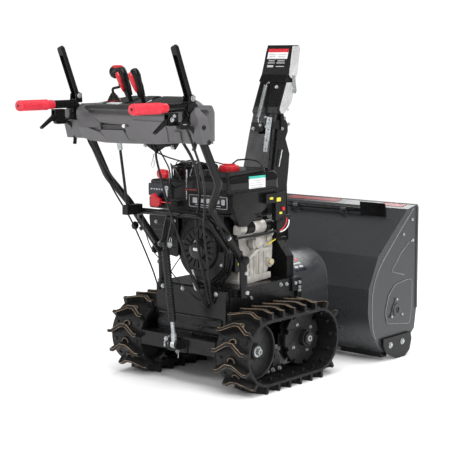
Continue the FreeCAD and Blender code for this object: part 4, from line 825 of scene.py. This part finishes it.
def add_console_dome():
    dome = Shape()
    outside = [loaf(0, cy, a, b, z) for a, b, z, cy in DOME]
    foot, wall = DOME[0][2], 2.5
    inside = [loaf(0, cy, a - wall, b - wall, max(z - wall, foot)) for a, b, z, cy in DOME]
    dome.cover(outside, inside)
    piece = dome.finish("console_dome", "console_dark", replaces="console_top")
    for x, y, _ in LEVERS:
        carve(piece, Shape().block(x - 9, x + 9, y - 56, y + 40, SLOT_LOW, SLOT_HIGH))
        carve(piece, Shape().block(x - 14, x + 14, y + 32, y + 74, SLOT_LOW, SLOT_HIGH))
    carve(piece, Shape().lathe("Z", CRANK_HEAD[:2], [(7, SLOT_LOW), (7, SLOT_HIGH - 5)], 20))
    rim = Shape()
    rim.sweep(loaf(0, -415, 241.5, 83.4, 995.5), 1.5, 6, True)
    rim.finish("console_dome_bead", "console_dark")


def rear_face(x, z):
    """Frame on the console's rear skirt: X across, Y up the slope, Z towards the operator."""
    share = (z - REAR_LOW[1]) / (REAR_HIGH[1] - REAR_LOW[1])
    y = REAR_LOW[0] + share * (REAR_HIGH[0] - REAR_LOW[0])
    return facing((x, y, z), (1, 0, 0), (0, REAR_HIGH[0] - REAR_LOW[0], REAR_HIGH[1] - REAR_LOW[1]))


def add_console_skirt():
    skirt = Shape(rear_face(0, 884))
    folds = (((-240, 84, 0.5), (-170, 84, 0.5), (-119, 47, 4), (-190, 43, 11), (-240, 45, 11)),
             ((-240, 45, 11), (-190, 43, 11), (-143, 27, 7), (-110, -9, 0.5), (-238, 0, 0.5)),
             ((-143, 27, 4), (-132, 36, 4), (-30, 37, 4), (-10, -4, 1), (-110, -9, 1)))
    for fold in folds:
        skirt.rings([[(x, y, -2) for x, y, _ in fold], list(fold)])
    skirt.plate("Z", [(24, -2), (168, -2), (172, 38), (168, 72), (22, 74)], 5, -2, 3.0)
    skirt.plate("Z", [(204, 2), (231, 2), (231, 42), (204, 42)], 5, -2, 6.0)
    skirt.plate("Z", [(-238, 3), (-204, -7), (-124, -12), (-31, -11), (120, -7), (232, 2)], 4, -4, 1.0)
    skirt.finish("console_skirt", "console_grey", bevel=2.2)


def add_skirt_fittings():
    bar = Shape(rear_face(-62, 934))
    bar.slab(118, 5, 4.6, 2, 0, 0, 1)
    bar.finish("console_slider_bar", "console_dark", bevel=0.5)
    # A zinc bolt head drawn in white: painted glint.
    bolts = Shape()
    bolts.at(rear_face(-22, 934)).lathe("Z", (0, 0), [(6, 0), (6.4, 4), (5, 7), (2, 8)], 20)
    bolts.finish("console_bolt_glint", "white_label", slot="zinc")
    screws = Shape()
    screws.bolts("Y", ((87, 860), (-40, 862)), -372, 6, -1, 5)
    screws.sweep([(4, -377, 834), (6, -382, 822), (2, -385, 806), (-4, -384, 792), (2, -380, 786),
                  (8, -380, 796), (6, -378, 812)], 1.3, 6)
    screws.finish("console_hanger_bolts", "zinc")


def add_console_dark_bolts():
    dark = Shape()
    dark.at(rear_face(-128, 934)).lathe("Z", (0, 0), [(6.5, 0), (6.5, 4), (4.5, 6.4)], 20)
    for side in (-1, 1):
        for y, z in ((-474, 938), (-449, 889)):
            near = side * 317.6
            steps = ((8, 0), (8, 3), (6, 4.6), (3, 4.6), (2.6, 3))
            dark.at().lathe("X", (y, z), [(radius, near + side * step) for radius, step in steps], 22)
    dark.finish("console_dark_bolts", "black_plastic")


def crank_frame():
    """Local frame at the crank's boot, Z along its leaning shaft."""
    lean = Vector((0, -60, 379)).normalized()
    return facing(CRANK_HEAD, (1, 0, 0), lean.cross(Vector((1, 0, 0))))


def add_crank_boot():
    cone = Shape(crank_frame())
    cone.lathe("Z", (0, 0), [(26, -12), (25, 0), (21.5, 4), (21.5, 8), (17, 13), (16, 17), (11, 22),
                             (8.6, 27), (6, 29)], 28)
    cone.finish("crank_boot", "boot_rubber", "chute_crank")
    ring = Shape(crank_frame())
    ring.sweep(arc("Z", (0, 0), 22.0, 0, 345, 3.6, 23), 1.2, 8, True)
    ring.finish("crank_boot_ring", "red_plastic", "chute_crank")


def add_crank_knob():
    knob = Shape(crank_frame())
    rows = []
    for x, half_y, low, high in CRANK_KNOB:
        rows.append([(x, half_y * c, (low + high) / 2 + (high - low) / 2 * s) for c, s in around(20)])
    knob.rings(rows)
    knob.finish("crank_knob_skin", "black_plastic", "chute_crank")
    top = Shape(crank_frame())
    top.rings([oval(37, 0, 25, 11, 117), oval(37, 0, 25, 11, 121.6), oval(37, 0, 20, 7, 124)])
    top.finish("crank_knob_top", "red_plastic", "chute_crank")


def add_lever_skins():
    for x, y, body in LEVERS:
        local = Matrix.Translation((x, y, LEVER_PIVOT_Z)) @ Matrix.Rotation(LEVER_LEAN, 4, "X")
        skin = Shape(local)
        skin.rings([oval(0, mid, a, b, z, 24) for z, a, b, mid in LEVER_KNOB])
        skin.finish(body + "_skin", "black_plastic", body)
        drop = Shape(local @ facing((-4.0, -13.6, 143), (1, -0.16, 0), (0.0, -0.06, 1)))
        drop.rings([teardrop(11.5, 37, -4), teardrop(11.5, 37, 3), teardrop(10, 34.5, 5.4),
                    teardrop(6, 27, 6.8)])
        drop.finish(body + "_inlay", "red_plastic", body)


def add_console_plates():
    plate = Shape(facing((-104, -456, 1006), (1, -0.1, 0), (0.1, 1, 0.16)))
    plate.slab(60, 24, 2.0, 3, 0, 0, 2)
    plate.finish("console_plate", "white_label")
    patch = Shape(facing((-176, -452, 1005.6), (1, 0, 0.02), (0, 1, 0.16)))
    patch.slab(26, 14, 1.6, 2, 0, 0, 2)
    patch.finish("console_patch", "zinc", slot=None)


def add_console_ribs():
    lines = Shape()
    for x in (54, 76, 98, 120, 142, 164):
        run = (-462, -440, -420, -400, -385, -374)
        path = [(x + 0.12 * (y + 460), y, dome_height(y) + 0.4) for y in run]
        lines.sweep(path, [0.6, 2.0, 2.2, 2.2, 2.0, 0.6], 8)
    for x, middle, _ in LEVERS:
        for offset in (-10.5, 10.5):
            run = [middle + step for step in (-48, -30, -12, 4, 18)]
            lines.sweep([(x + offset, y, dome_height(y) + 0.2) for y in run], 1.5, 8)
    lines.finish("console_top_ribs", "console_dark")


def add_crank_collar():
    collar = Shape(crank_frame())
    collar.lathe("Z", (0, 0), [(8.6, -172), (9.2, -170), (9.2, -130), (8.6, -126)], 20)
    collar.finish("crank_collar", "zinc", "chute_crank")


# ---------------------------------------------------------------- handles
GRIP_X, GRIP_Z = 264.0, 1003.0


def add_grip_skins():
    grips = Shape()
    profile = [(4, -746.5), (11, -746.8), (16.4, -745.5), (18.2, -741), (18.4, -734)]
    y = -728.0
    while y < -626:
        profile += [(17.4, y - 2.2), (18.2, y - 1.0), (18.2, y + 1.0), (17.4, y + 2.2)]
        y += 5.6
    profile += [(18.6, -624), (18.4, -621.5), (15.3, -619.5), (15.3, -594), (14.6, -592.4)]
    for side in (-1, 1):
        grips.lathe("Y", (side * GRIP_X, GRIP_Z), profile, 28)
    grips.finish("handle_grips", "red_grip", replaces="grips")
    # Dark discs stand for the vent holes in the grip ends: painted shade.
    vents = Shape()
    for side in (-1, 1):
        vents.lathe("Y", (side * GRIP_X, GRIP_Z), [(4.6, -746.9), (4.4, -742)], 14)
    vents.finish("grip_vent_shade", "cable_sheath", slot="black_plastic")


def add_handle_bolts():
    bolts = Shape()
    for side in (-1, 1):
        x = side * GRIP_X
        bolts.bolt("X", (-484, 1031), x + side * 17, 7.5, side, 6)
        bolts.bolt("X", (-484, 1031), x - side * 17, 7, -side, 5)
        bolts.bolt("X", (-580, 966), x + side * 13, 6, side, 5)
        bolts.bolt("X", (-566, 977), x + side * 10, 4.5, side, 4)
        bolts.bolt("X", (-223, 544), side * 209, 7, side, 6)
    bolts.finish("handle_bolts", "zinc")


def add_switch_boxes():
    box = Shape()
    for side in (-1, 1):
        x = side * 282
        lower = [(-560, 934), (-520, 934), (-512, 944), (-516, 958), (-560, 958), (-566, 946)]
        box.plate("X", lower, 6, *sorted((x - side * 2, x + side * 14)))
        upper = [(-508, 986), (-470, 990), (-462, 1004), (-474, 1018), (-500, 1016), (-512, 1004)]
        box.plate("X", upper, 6, *sorted((x, x + side * 3)))
    box.finish("handle_switch_boxes", "black_plastic", bevel=1.2)
    marks = Shape(rightward(296.4, -540, 947))
    marks.slab(18, 1.6, 0.8, 0.6, 0, 3, 0.4)
    marks.finish("handle_box_marks", "pale_mark")


def add_handle_knobs():
    knobs = Shape()
    for y, z in ((-246, 556), (-143, 458)):
        for side in (-1, 1):
            near = side * 208.5
            steps = ((9, 0), (9, 3), (15, 5), (16, 9), (15, 15), (11, 17))
            knobs.lathe("X", (y, z), [(radius, near + side * step) for radius, step in steps], 8)
    knobs.finish("handle_knobs", "black_plastic", bevel=0.8)


def add_conduits():
    """Corrugated cable covers below the hand controls."""
    hose = Shape()
    for side in (-1, 1):
        x = side * 285
        path = curve_through([(x, -518, 944), (x, -487, 927), (x - side * 2, -474, 895),
                              (x - side * 6, -480, 862)], 22)
        hose.sweep(path, [7.0 if k % 3 else 5.4 for k in range(len(path))], 12)
    hose.finish("handle_conduits", "black_plastic")


# ---------------------------------------------------------------- engine
def add_hood_sign():
    """Plain plate and stripes."""
    hood = rearward(-215, -132.4, 678)
    Shape(hood).slab(84, 46, 1.2, 4, 0, 0, 1).finish("hood_window", "navy_label")
    stripes = Shape(hood)
    for k in range(5):
        stripes.slab(9 - 3 * (k % 2), 5, 1.9, 1, -26 + 13 * k, 2, 0.4)
    stripes.finish("hood_window_stripes", "pale_mark")


def add_shroud_sign():
    panel = rearward(47, -145.6, 652)
    Shape(panel).slab(184, 48, 1.0, 5, 0, 0, 1).finish("shroud_window", "navy_label")
    frame_line = Shape(panel)
    outline = rounded([(-89, -21), (89, -21), (89, 21), (-89, 21)], 5)
    frame_line.sweep([(a, b, 1.2) for a, b in outline], 1.1, 5, True)
    for x, width, high in ((-62, 22, 20), (-28, 18, 14), (6, 26, 18), (44, 20, 14), (70, 16, 20)):
        frame_line.slab(width, high, 1.6, 4, x, 2, 0.4)
    frame_line.slab(120, 3, 1.6, 1, 0, -13, 0.4)
    frame_line.finish("shroud_window_marks", "pale_mark")


def add_tank_label():
    side = rightward(172.2, -24, 720)
    Shape(side).slab(92, 46, 0.9, 3, 0, 0, 1).finish("tank_label", "white_label")
    Shape(side).slab(92, 9, 1.2, 2, 0, 19, 0.5).finish("tank_label_header", "teal_label")
    lines = Shape(side)
    for row in range(4):
        lines.slab(70 - 8 * (row % 2), 2.4, 1.2, 0.8, -4, 7 - 8 * row, 0.5)
    lines.finish("tank_label_lines", "pale_mark")


def add_recoil_disc():
    hub = Shape(rearward(0, -152.2, 478))
    hub.lathe("Z", (0, 0), [(38, -1), (38.5, 1.6), (36, 3.4), (24, 5.2), (8, 6)], 40)
    hub.finish("recoil_disc", "tank_black")
    mark = Shape(rearward(0, -157.6, 478))
    mark.slab(30, 11, 1.2, 5, 0, 0, 2)
    mark.finish("recoil_disc_mark", "white_label")


def add_engine_ridges():
    black = Shape()
    black.plate("Y", [(-146, 603), (150, 606), (156, 612), (-150, 612)], 2, -150, -144)
    for k in range(4):
        z = 698 + 9 * k
        black.block(-14, 96, -179.6, -177.5, z, z + 3.4)
    for k in range(6):
        z = 662 + 8 * k
        black.block(-74, -59, -131.8, -134.6, z, z + 3)
    black.block(-168, -68, -133.8, -131.5, 706, 711)
    for k in range(9):
        x = -238 + 9 * k
        black.block(x - 1.4, x + 1.4, -146.8, -144.6, 618, 646)
    black.finish("engine_ridges", "black_plastic", bevel=0.7)


def add_muffler_guard():
    guard = Shape()
    for k in range(9):
        x = -206 + 15.5 * k
        guard.block(x - 2, x + 2, -46, 54, 750, 756)
    guard.sweep([(-212, -52, 716), (-212, -54, 744), (-204, -56, 762), (-80, -56, 762), (-72, -54, 744),
                 (-72, -52, 716)], 2.6, 8)
    guard.finish("muffler_guard", "black_paint")


def add_engine_trim():
    """Bright bars and small red parts beside the tank."""
    bars = Shape()
    bars.plate("X", [(-138, 640), (-134, 640), (-134, 760), (-138, 760)], 1.5, -66, -60)
    bars.plate("Y", [(-160, 724), (-146, 724), (-146, 742), (-160, 742)], 2, -128, -124)
    bars.sweep([(-58, -120, 690), (-58, -124, 740), (-40, -128, 776), (-22, -120, 790)], 2.0, 8)
    bars.finish("engine_bright_bars", "zinc", bevel=0.5)
    red = Shape()
    red.plate("Y", [(-30, 690), (24, 690), (24, 697), (-30, 697)], 2, -180.6, -177)
    red.plate("X", [(56, 770), (84, 770), (90, 762), (84, 756), (56, 756)], 3, -36, -20)
    red.finish("engine_red_parts", "red_plastic", bevel=0.6)


def add_tank_trim():
    """Rim and shoulder lines of the fuel tank."""
    rim = Shape()
    foot = rounded([(-35, -181), (173, -181), (173, 103), (-35, 103)], 17, 6)
    for z in (692, 698):
        rim.sweep([(x, y, z) for x, y in foot], 1.9, 8, True)
    for x in (150, -12):
        rim.sweep(curve_through([(x, -164, 740.5), (x, -60, 745), (x, 84, 752.5)], 8), 1.6, 8)
    rim.finish("tank_rims", "tank_black")


def add_fan_housing():
    """Eight-sided fan housing, the left cover and the stepped rings below them."""
    outline = [(-99, 478), (-73, 568), (2, 611), (84, 593), (123, 498), (115, 411), (50, 354), (-41, 370)]
    middle = Vector((10, 482))
    inset = [tuple(middle + (Vector(p) - middle) * 0.93) for p in outline]
    plastic = Shape()
    plastic.plate("Y", outline, 18, -131, -122, 5)
    plastic.plate("Y", inset, 16, -136, -130, 5)
    plastic.plate("Y", [(-254, 586), (-242, 478), (-207, 449), (-108, 436), (-108, 592)], 14, -137, -131, 5)
    for radius, y in ((116, -112), (108, -118), (100, -124)):
        plastic.sweep(arc("Y", (12, 452), radius, -115, 10, y, 24), 4.2, 8)
    plastic.plate("X", [(-84, 396), (-42, 396), (-42, 472), (-84, 472)], 6, 104, 121)
    plastic.finish("engine_fan_housing", "black_plastic", bevel=2.0)
    lines = Shape()
    lines.sweep([(x, -136.4, z) for x, z in rounded(inset, 16, 5)], 1.5, 8, True)
    for k in range(5):
        z = 470 + 20 * k
        lines.sweep([(-236 + 2 * k, -137, z), (-180, -138.6, z + 3), (-118, -137, z)], 1.6, 8)
    lines.finish("engine_housing_lines", "tank_black")


def add_cap_top():
    cap = Shape()
    cap.lathe("Z", (72, -60), [(35.5, 774), (34, 777.5), (26, 779), (24, 776.5), (8, 776.5), (6, 778.5),
                               (0.5, 779)], 36)
    cap.plate("Z", [(48, -66), (96, -66), (96, -54), (48, -54)], 4, 776, 783)
    cap.finish("fuel_cap_top", "red_plastic", "fuel_cap", bevel=0.8)


def add_wire_loops():
    loops = Shape()
    loops.sweep([(20, 20, 762), (18, 24, 776), (24, 44, 788), (60, 56, 792), (110, 52, 788), (146, 34, 776),
                 (150, 28, 760)], 3.0, 8)
    loops.sweep([(-34, -90, 744), (-44, -96, 762), (-50, -60, 776), (-48, 0, 780), (-44, 40, 770),
                 (-38, 50, 748)], 2.4, 8)
    loops.sweep([(-100, -128, 716), (-112, -132, 742), (-140, -128, 768), (-168, -108, 774),
                 (-186, -84, 762), (-192, -70, 720)], 2.8, 8)
    for k in range(7):
        ring = []
        for step in range(20):
            t = 2 * math.pi * step / 20
            ring.append((-196 + 21 * k + 20 * math.cos(t), -22 + (14 + 3 * (k % 3)) * math.sin(t + 0.5 * k),
                         772 + 4 * (k % 2) + 6 * math.sin(t + k)))
        loops.sweep(ring, 1.6, 6, True)
    loops.finish("engine_wire_loops", "cable_sheath")


def add_choke_knob_skin():
    low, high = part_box("choke_knob")
    mid_x, mid_y = (low[0] + high[0]) / 2 / MM, (low[1] + high[1]) / 2 / MM
    outlines = ((17, 12, 721), (22, 14, 724), (24, 15.5, 734), (23, 15, 744), (20, 12, 749), (12, 7, 751))
    knob = Shape()
    knob.rings([loaf(mid_x - 7, mid_y, a, b, z, 3.0, 32) for a, b, z in outlines])
    knob.finish("choke_knob_skin", "red_plastic", "choke_knob")


def add_yellow_parts():
    yellow = Shape()
    yellow.plate("Z", [(2, -6), (42, -6), (42, 6), (2, 6)], 3, 762, 772)
    for y, z, width, height in ((88, 650, 24, 14), (46, 657, 20, 8), (100, 600, 16, 8)):
        yellow.at(rightward(181.3, y, z)).slab(width, height, 0.9, 2, 0, 0, 0.5)
    yellow.at().sweep([(128, 88, 478), (131, 108, 488), (132, 132, 496)], 3.0, 8)
    yellow.finish("engine_yellow_parts", "yellow_mark")


def add_castings():
    cast = Shape()
    cast.plate("X", [(-46, 346), (112, 356), (112, 378), (-44, 374)], 4, 104, 126)
    cast.plate("X", [(-34, 372), (104, 376), (136, 424), (138, 480), (126, 520), (20, 520), (34, 470),
                     (-10, 430)], 9, 96, 112)
    cast.plate("X", [(-86, 532), (130, 536), (130, 560), (60, 564), (-60, 560), (-86, 552)], 6, 112, 122)
    for y, top in ((-22, 424), (4, 440), (30, 456), (58, 462), (86, 462)):
        cast.plate("X", [(y - 3.5, 372), (y + 3.5, 372), (y + 3, top), (y - 3, top)], 2, 108, 119)
    cast.plate("X", [(-24, 420), (44, 458), (128, 458), (128, 468), (40, 469), (-26, 431)], 3, 108, 120)
    cast.plate("X", [(20, 472), (76, 472), (84, 492), (72, 516), (28, 516), (14, 492)], 8, 96, 119)
    cast.lathe("X", (48, 494), [(24, 118), (24, 124), (18, 127), (16, 124), (6, 124)], 26)
    cast.lathe("X", (-14, 400), [(13, 104), (13, 119), (9, 121), (8, 118), (3, 118)], 20)
    cast.lathe("X", (112, 500), [(15, 104), (15, 121), (10, 124), (4, 124)], 20)
    cast.lathe("X", (118, 404), [(12, 96), (12, 118), (8, 120), (3, 120)], 20)
    starter = (140, 556)
    cast.lathe("Y", starter, [(22.6, -20), (24, -18), (24, 40), (22.6, 42)], 26)
    cast.lathe("Y", starter, [(18.6, -96), (20, -92), (20, -64), (18, -62)], 24)
    cast.plate("Y", [(104, 512), (150, 512), (158, 530), (150, 548), (104, 548)], 6, 84, 92)
    cast.finish("engine_castings", "cast_alloy", bevel=1.4)


def add_engine_bolts():
    bolts = Shape()
    block_bolts = ((-78, 546), (88, 548), (72, 480), (28, 508), (94, 366), (-30, 358))
    bolts.bolts("X", block_bolts, 121.5, 4.5, 1, 4)
    bolts.bolts("Y", ((116, 520), (146, 541)), 84, 4, -1, 4)
    bolts.bolts("Y", ((84, 560), (100, 428), (-76, 500)), -136, 4.5, -1, 4)
    bolts.bolt("Y", (-216, 560), -137, 5.5, -1, 5, 1.3, True)
    bolts.bolts("Z", ((140, 0), (140, -24)), 600, 4.5, 1, 5)
    bolts.finish("engine_bolts", "zinc")


def add_crankcase_labels():
    labels = Shape(rightward(121.6, -62, 446))
    labels.slab(20, 13, 0.9, 2, 0, 4, 0.5)
    labels.slab(10, 9, 0.9, 2, -4, -20, 0.5)
    labels.finish("crankcase_yellow_labels", "yellow_mark")


def add_leads():
    wire("starter_lead", 3.0, [(140, -24, 604), (146, -34, 616), (164, -28, 606), (174, 6, 596),
                               (172, 40, 600), (168, 74, 606)])
    wire("starter_return", 2.6, [(140, 0, 604), (144, 10, 622), (156, 30, 632), (166, 46, 640)])
    wire("spark_lead", 3.2, [(-150, -128, 560), (-150, -140, 580), (-120, -152, 596), (-80, -148, 604),
                             (-50, -140, 600)])
    wire("lamp_lead_red", 2.4, [(190, 84, 537), (196, 96, 544), (198, 110, 560), (196, 118, 574),
                                (188, 126, 580)], "red_plastic", "red_plastic")
    wire("lamp_lead_pale", 2.2, [(190, 84, 533), (199, 98, 536), (203, 116, 552), (200, 126, 566),
                                 (192, 134, 572)], "white_label", "red_plastic")


def add_side_shroud():
    low = Shape()
    low.sweep([(150, 124, 496), (152, 150, 504), (150, 169, 500)], 4, 8)
    rows = []
    for z, x0, y0, y1 in ((567, 148, -106, -62), (574, 140, -112, -54), (600, 126, -124, 4),
                          (626, 112, -136, 50), (656, 100, -142, 74), (688, 92, -146, 98)):
        rows.append([(x, y, z) for x, y in rounded([(x0, y0), (163.6, y0), (163.6, y1), (x0, y1)], 9, 4)])
    low.rings(rows)
    low.finish("engine_side_shroud", "black_plastic")


# ---------------------------------------------------------------- frame and bucket
def add_frame_bolts():
    bolts = Shape()
    bolts.bolts("Y", ((-36, 338), (122, 334), (-134, 336)), -192, 6, -1, 5)
    for side in (-1, 1):
        for y, z, level in ((-128, 330, 181), (-57, 307, 170), (115, 333, 170), (150, 330, 170),
                            (216, 300, 179)):
            bolts.bolt("X", (y, z), side * level, 6, side, 5)
    bolts.plate("Y", [(6, 408), (22, 414), (42, 352), (40, 338), (30, 340)], 3, -201, -197)
    bolts.finish("frame_bolts", "zinc")


def add_frame_pressings():
    folds = Shape()
    folds.plate("X", [(-190, 250), (-197, 242), (-197, 216), (-204, 212), (-204, 188), (-198, 182),
                      (-188, 182)], 2, -150, 150)
    for z, y in ((240, -198), (214, -203), (186, -205)):
        folds.sweep([(-146, y, z), (0, y - 0.6, z), (146, y, z)], 1.8, 8)
    for side in (-1, 1):
        folds.plate("X", [(-90, 240), (110, 240), (110, 312), (-90, 312)], 14, side * 169, side * 172)
        folds.plate("Y", [(side * 170, 346), (side * 184, 346), (side * 184, 322), (side * 170, 322)], 3,
                    -160, -98)
    folds.finish("frame_pressings", "black_paint", bevel=1.0)
    # Dark discs stand for holes in the frame sides: painted shade.
    holes = Shape()
    for side in (-1, 1):
        for y, z in ((0, 329), (30, 329), (-60, 329)):
            holes.lathe("X", (y, z), [(5, side * 169), (5, side * 170.6)], 16)
    holes.finish("frame_hole_shade", "cable_sheath", slot="black_paint")


DRUM_R, DRUM_Z = 166, 250
PANEL_EDGE = ((537, 144), (525, 192), (546, 251), (589, 289), (657, 298), (709, 298), (710, 189), (696, 121))
PANEL_BORDER = ((462, 96), (441, 143), (438, 267), (478, 359), (585, 462), (716, 574))
PANEL_HOOK = ((687, 444), (631, 408), (581, 358), (568, 343), (599, 334), (656, 320))


def add_bucket_rivets():
    rivets = Shape()
    for side in (-1, 1):
        rivets.bolts("X", ((548, 60), (631, 62)), side * 368, 8.4, side, 4.6, 1.5)
    rivets.finish("bucket_rivets", "zinc")


def add_bucket_highlight_beads():
    # Beads in a light copy of the gunmetal paint trace where the bucket side catches light: painted
    # highlight.
    edge = Shape()
    for side in (-1, 1):
        edge.sweep([(side * 354.5, 744.5, z) for z in (178, 380, 580)], 2.2, 8)
        x = side * 358.2
        edge.sweep([(x, y, z) for y, z in rounded(PANEL_EDGE, 14, 5)], 1.3, 8, True)
        border = curve_through([(x - side, y, z) for y, z in PANEL_BORDER], 6)
        edge.sweep(border, 1.5, 8)
        edge.sweep([(x - side, y, z) for y, z in PANEL_HOOK], 1.3, 8)
    edge.finish("bucket_highlight_beads", "gunmetal_edge")


def add_bucket_signs():
    """Plain strips on the top and a plain patch on the drum."""
    strips = Shape()
    for x, width in ((-122, 255), (262, 110)):
        strips.at(facing((x, 712, 581.2), (1, 0, 0), (0, 71, 14))).slab(width, 34, 1.0, 3, 0, 0, 1.0)
    strips.finish("bucket_top_strips", "red_label")
    patch = Shape()
    patch.rings(drum_patch(262, 330, 40, 64, 0.8))
    patch.finish("drum_patch", "navy_label")
    bars = Shape()
    for y0, y1, start, end in ((272, 300, 56, 58), (272, 322, 51, 53.5), (272, 292, 45, 48),
                               (300, 322, 45, 48)):
        bars.rings(drum_patch(y0, y1, start, end, 1.4))
    bars.finish("drum_patch_bars", "pale_mark")
    red = Shape()
    red.rings(drum_patch(306, 322, 57, 61, 1.4))
    red.finish("drum_patch_red", "red_plastic", slot=None)


def drum_patch(y0, y1, start, end, lift):
    """Curved rectangle on the drum between two angles in degrees."""
    rows = []
    for k in range(9):
        t = math.radians(start + (end - start) * k / 8)
        inner, outer = DRUM_R - 0.5, DRUM_R + lift
        rows.append([(radius * math.cos(t), y, DRUM_Z + radius * math.sin(t))
                     for radius, y in ((inner, y0), (inner, y1), (outer, y1), (outer, y0))])
    return rows


def add_strut_details():
    parts = Shape()
    for side in (1, -1):
        parts.bolt("X", (-322, 516), side * 22, 8, side, 6)
    parts.bolt("X", (-296, 596), 18.5, 6, 1, 5)
    parts.sweep([(24, -322, 520), (28, -330, 530), (30, -326, 542), (28, -318, 536), (26, -318, 520),
                 (26, -322, 506)], 1.4, 6)
    parts.finish("strut_top_bolts", "zinc")


# ---------------------------------------------------------------- make everything
BUILDERS = (
    add_camera, add_studio, dress_nodes,
    add_track_details, add_wheel_details, add_undercarriage_details, add_crossbar_hole_shade,
    add_chute_linkage, add_chute_strip, add_deflector_reflections, add_deflector_folds, add_chute_spring,
    add_chute_bracket, add_chute_label,
    add_console_dome, add_console_skirt, add_skirt_fittings, add_console_dark_bolts,
    add_crank_boot, add_crank_knob, add_lever_skins, add_console_plates, add_console_ribs, add_crank_collar,
    add_grip_skins, add_handle_bolts, add_switch_boxes, add_conduits, add_handle_knobs,
    add_hood_sign, add_shroud_sign, add_tank_label, add_recoil_disc,
    add_engine_ridges, add_tank_trim, add_fan_housing, add_muffler_guard, add_engine_trim,
    add_cap_top, add_wire_loops, add_choke_knob_skin, add_yellow_parts,
    add_castings, add_engine_bolts, add_crankcase_labels, add_leads, add_side_shroud,
    add_frame_bolts, add_frame_pressings, add_bucket_rivets, add_bucket_highlight_beads, add_bucket_signs,
    add_strut_details,
)
for build in BUILDERS:
    build()
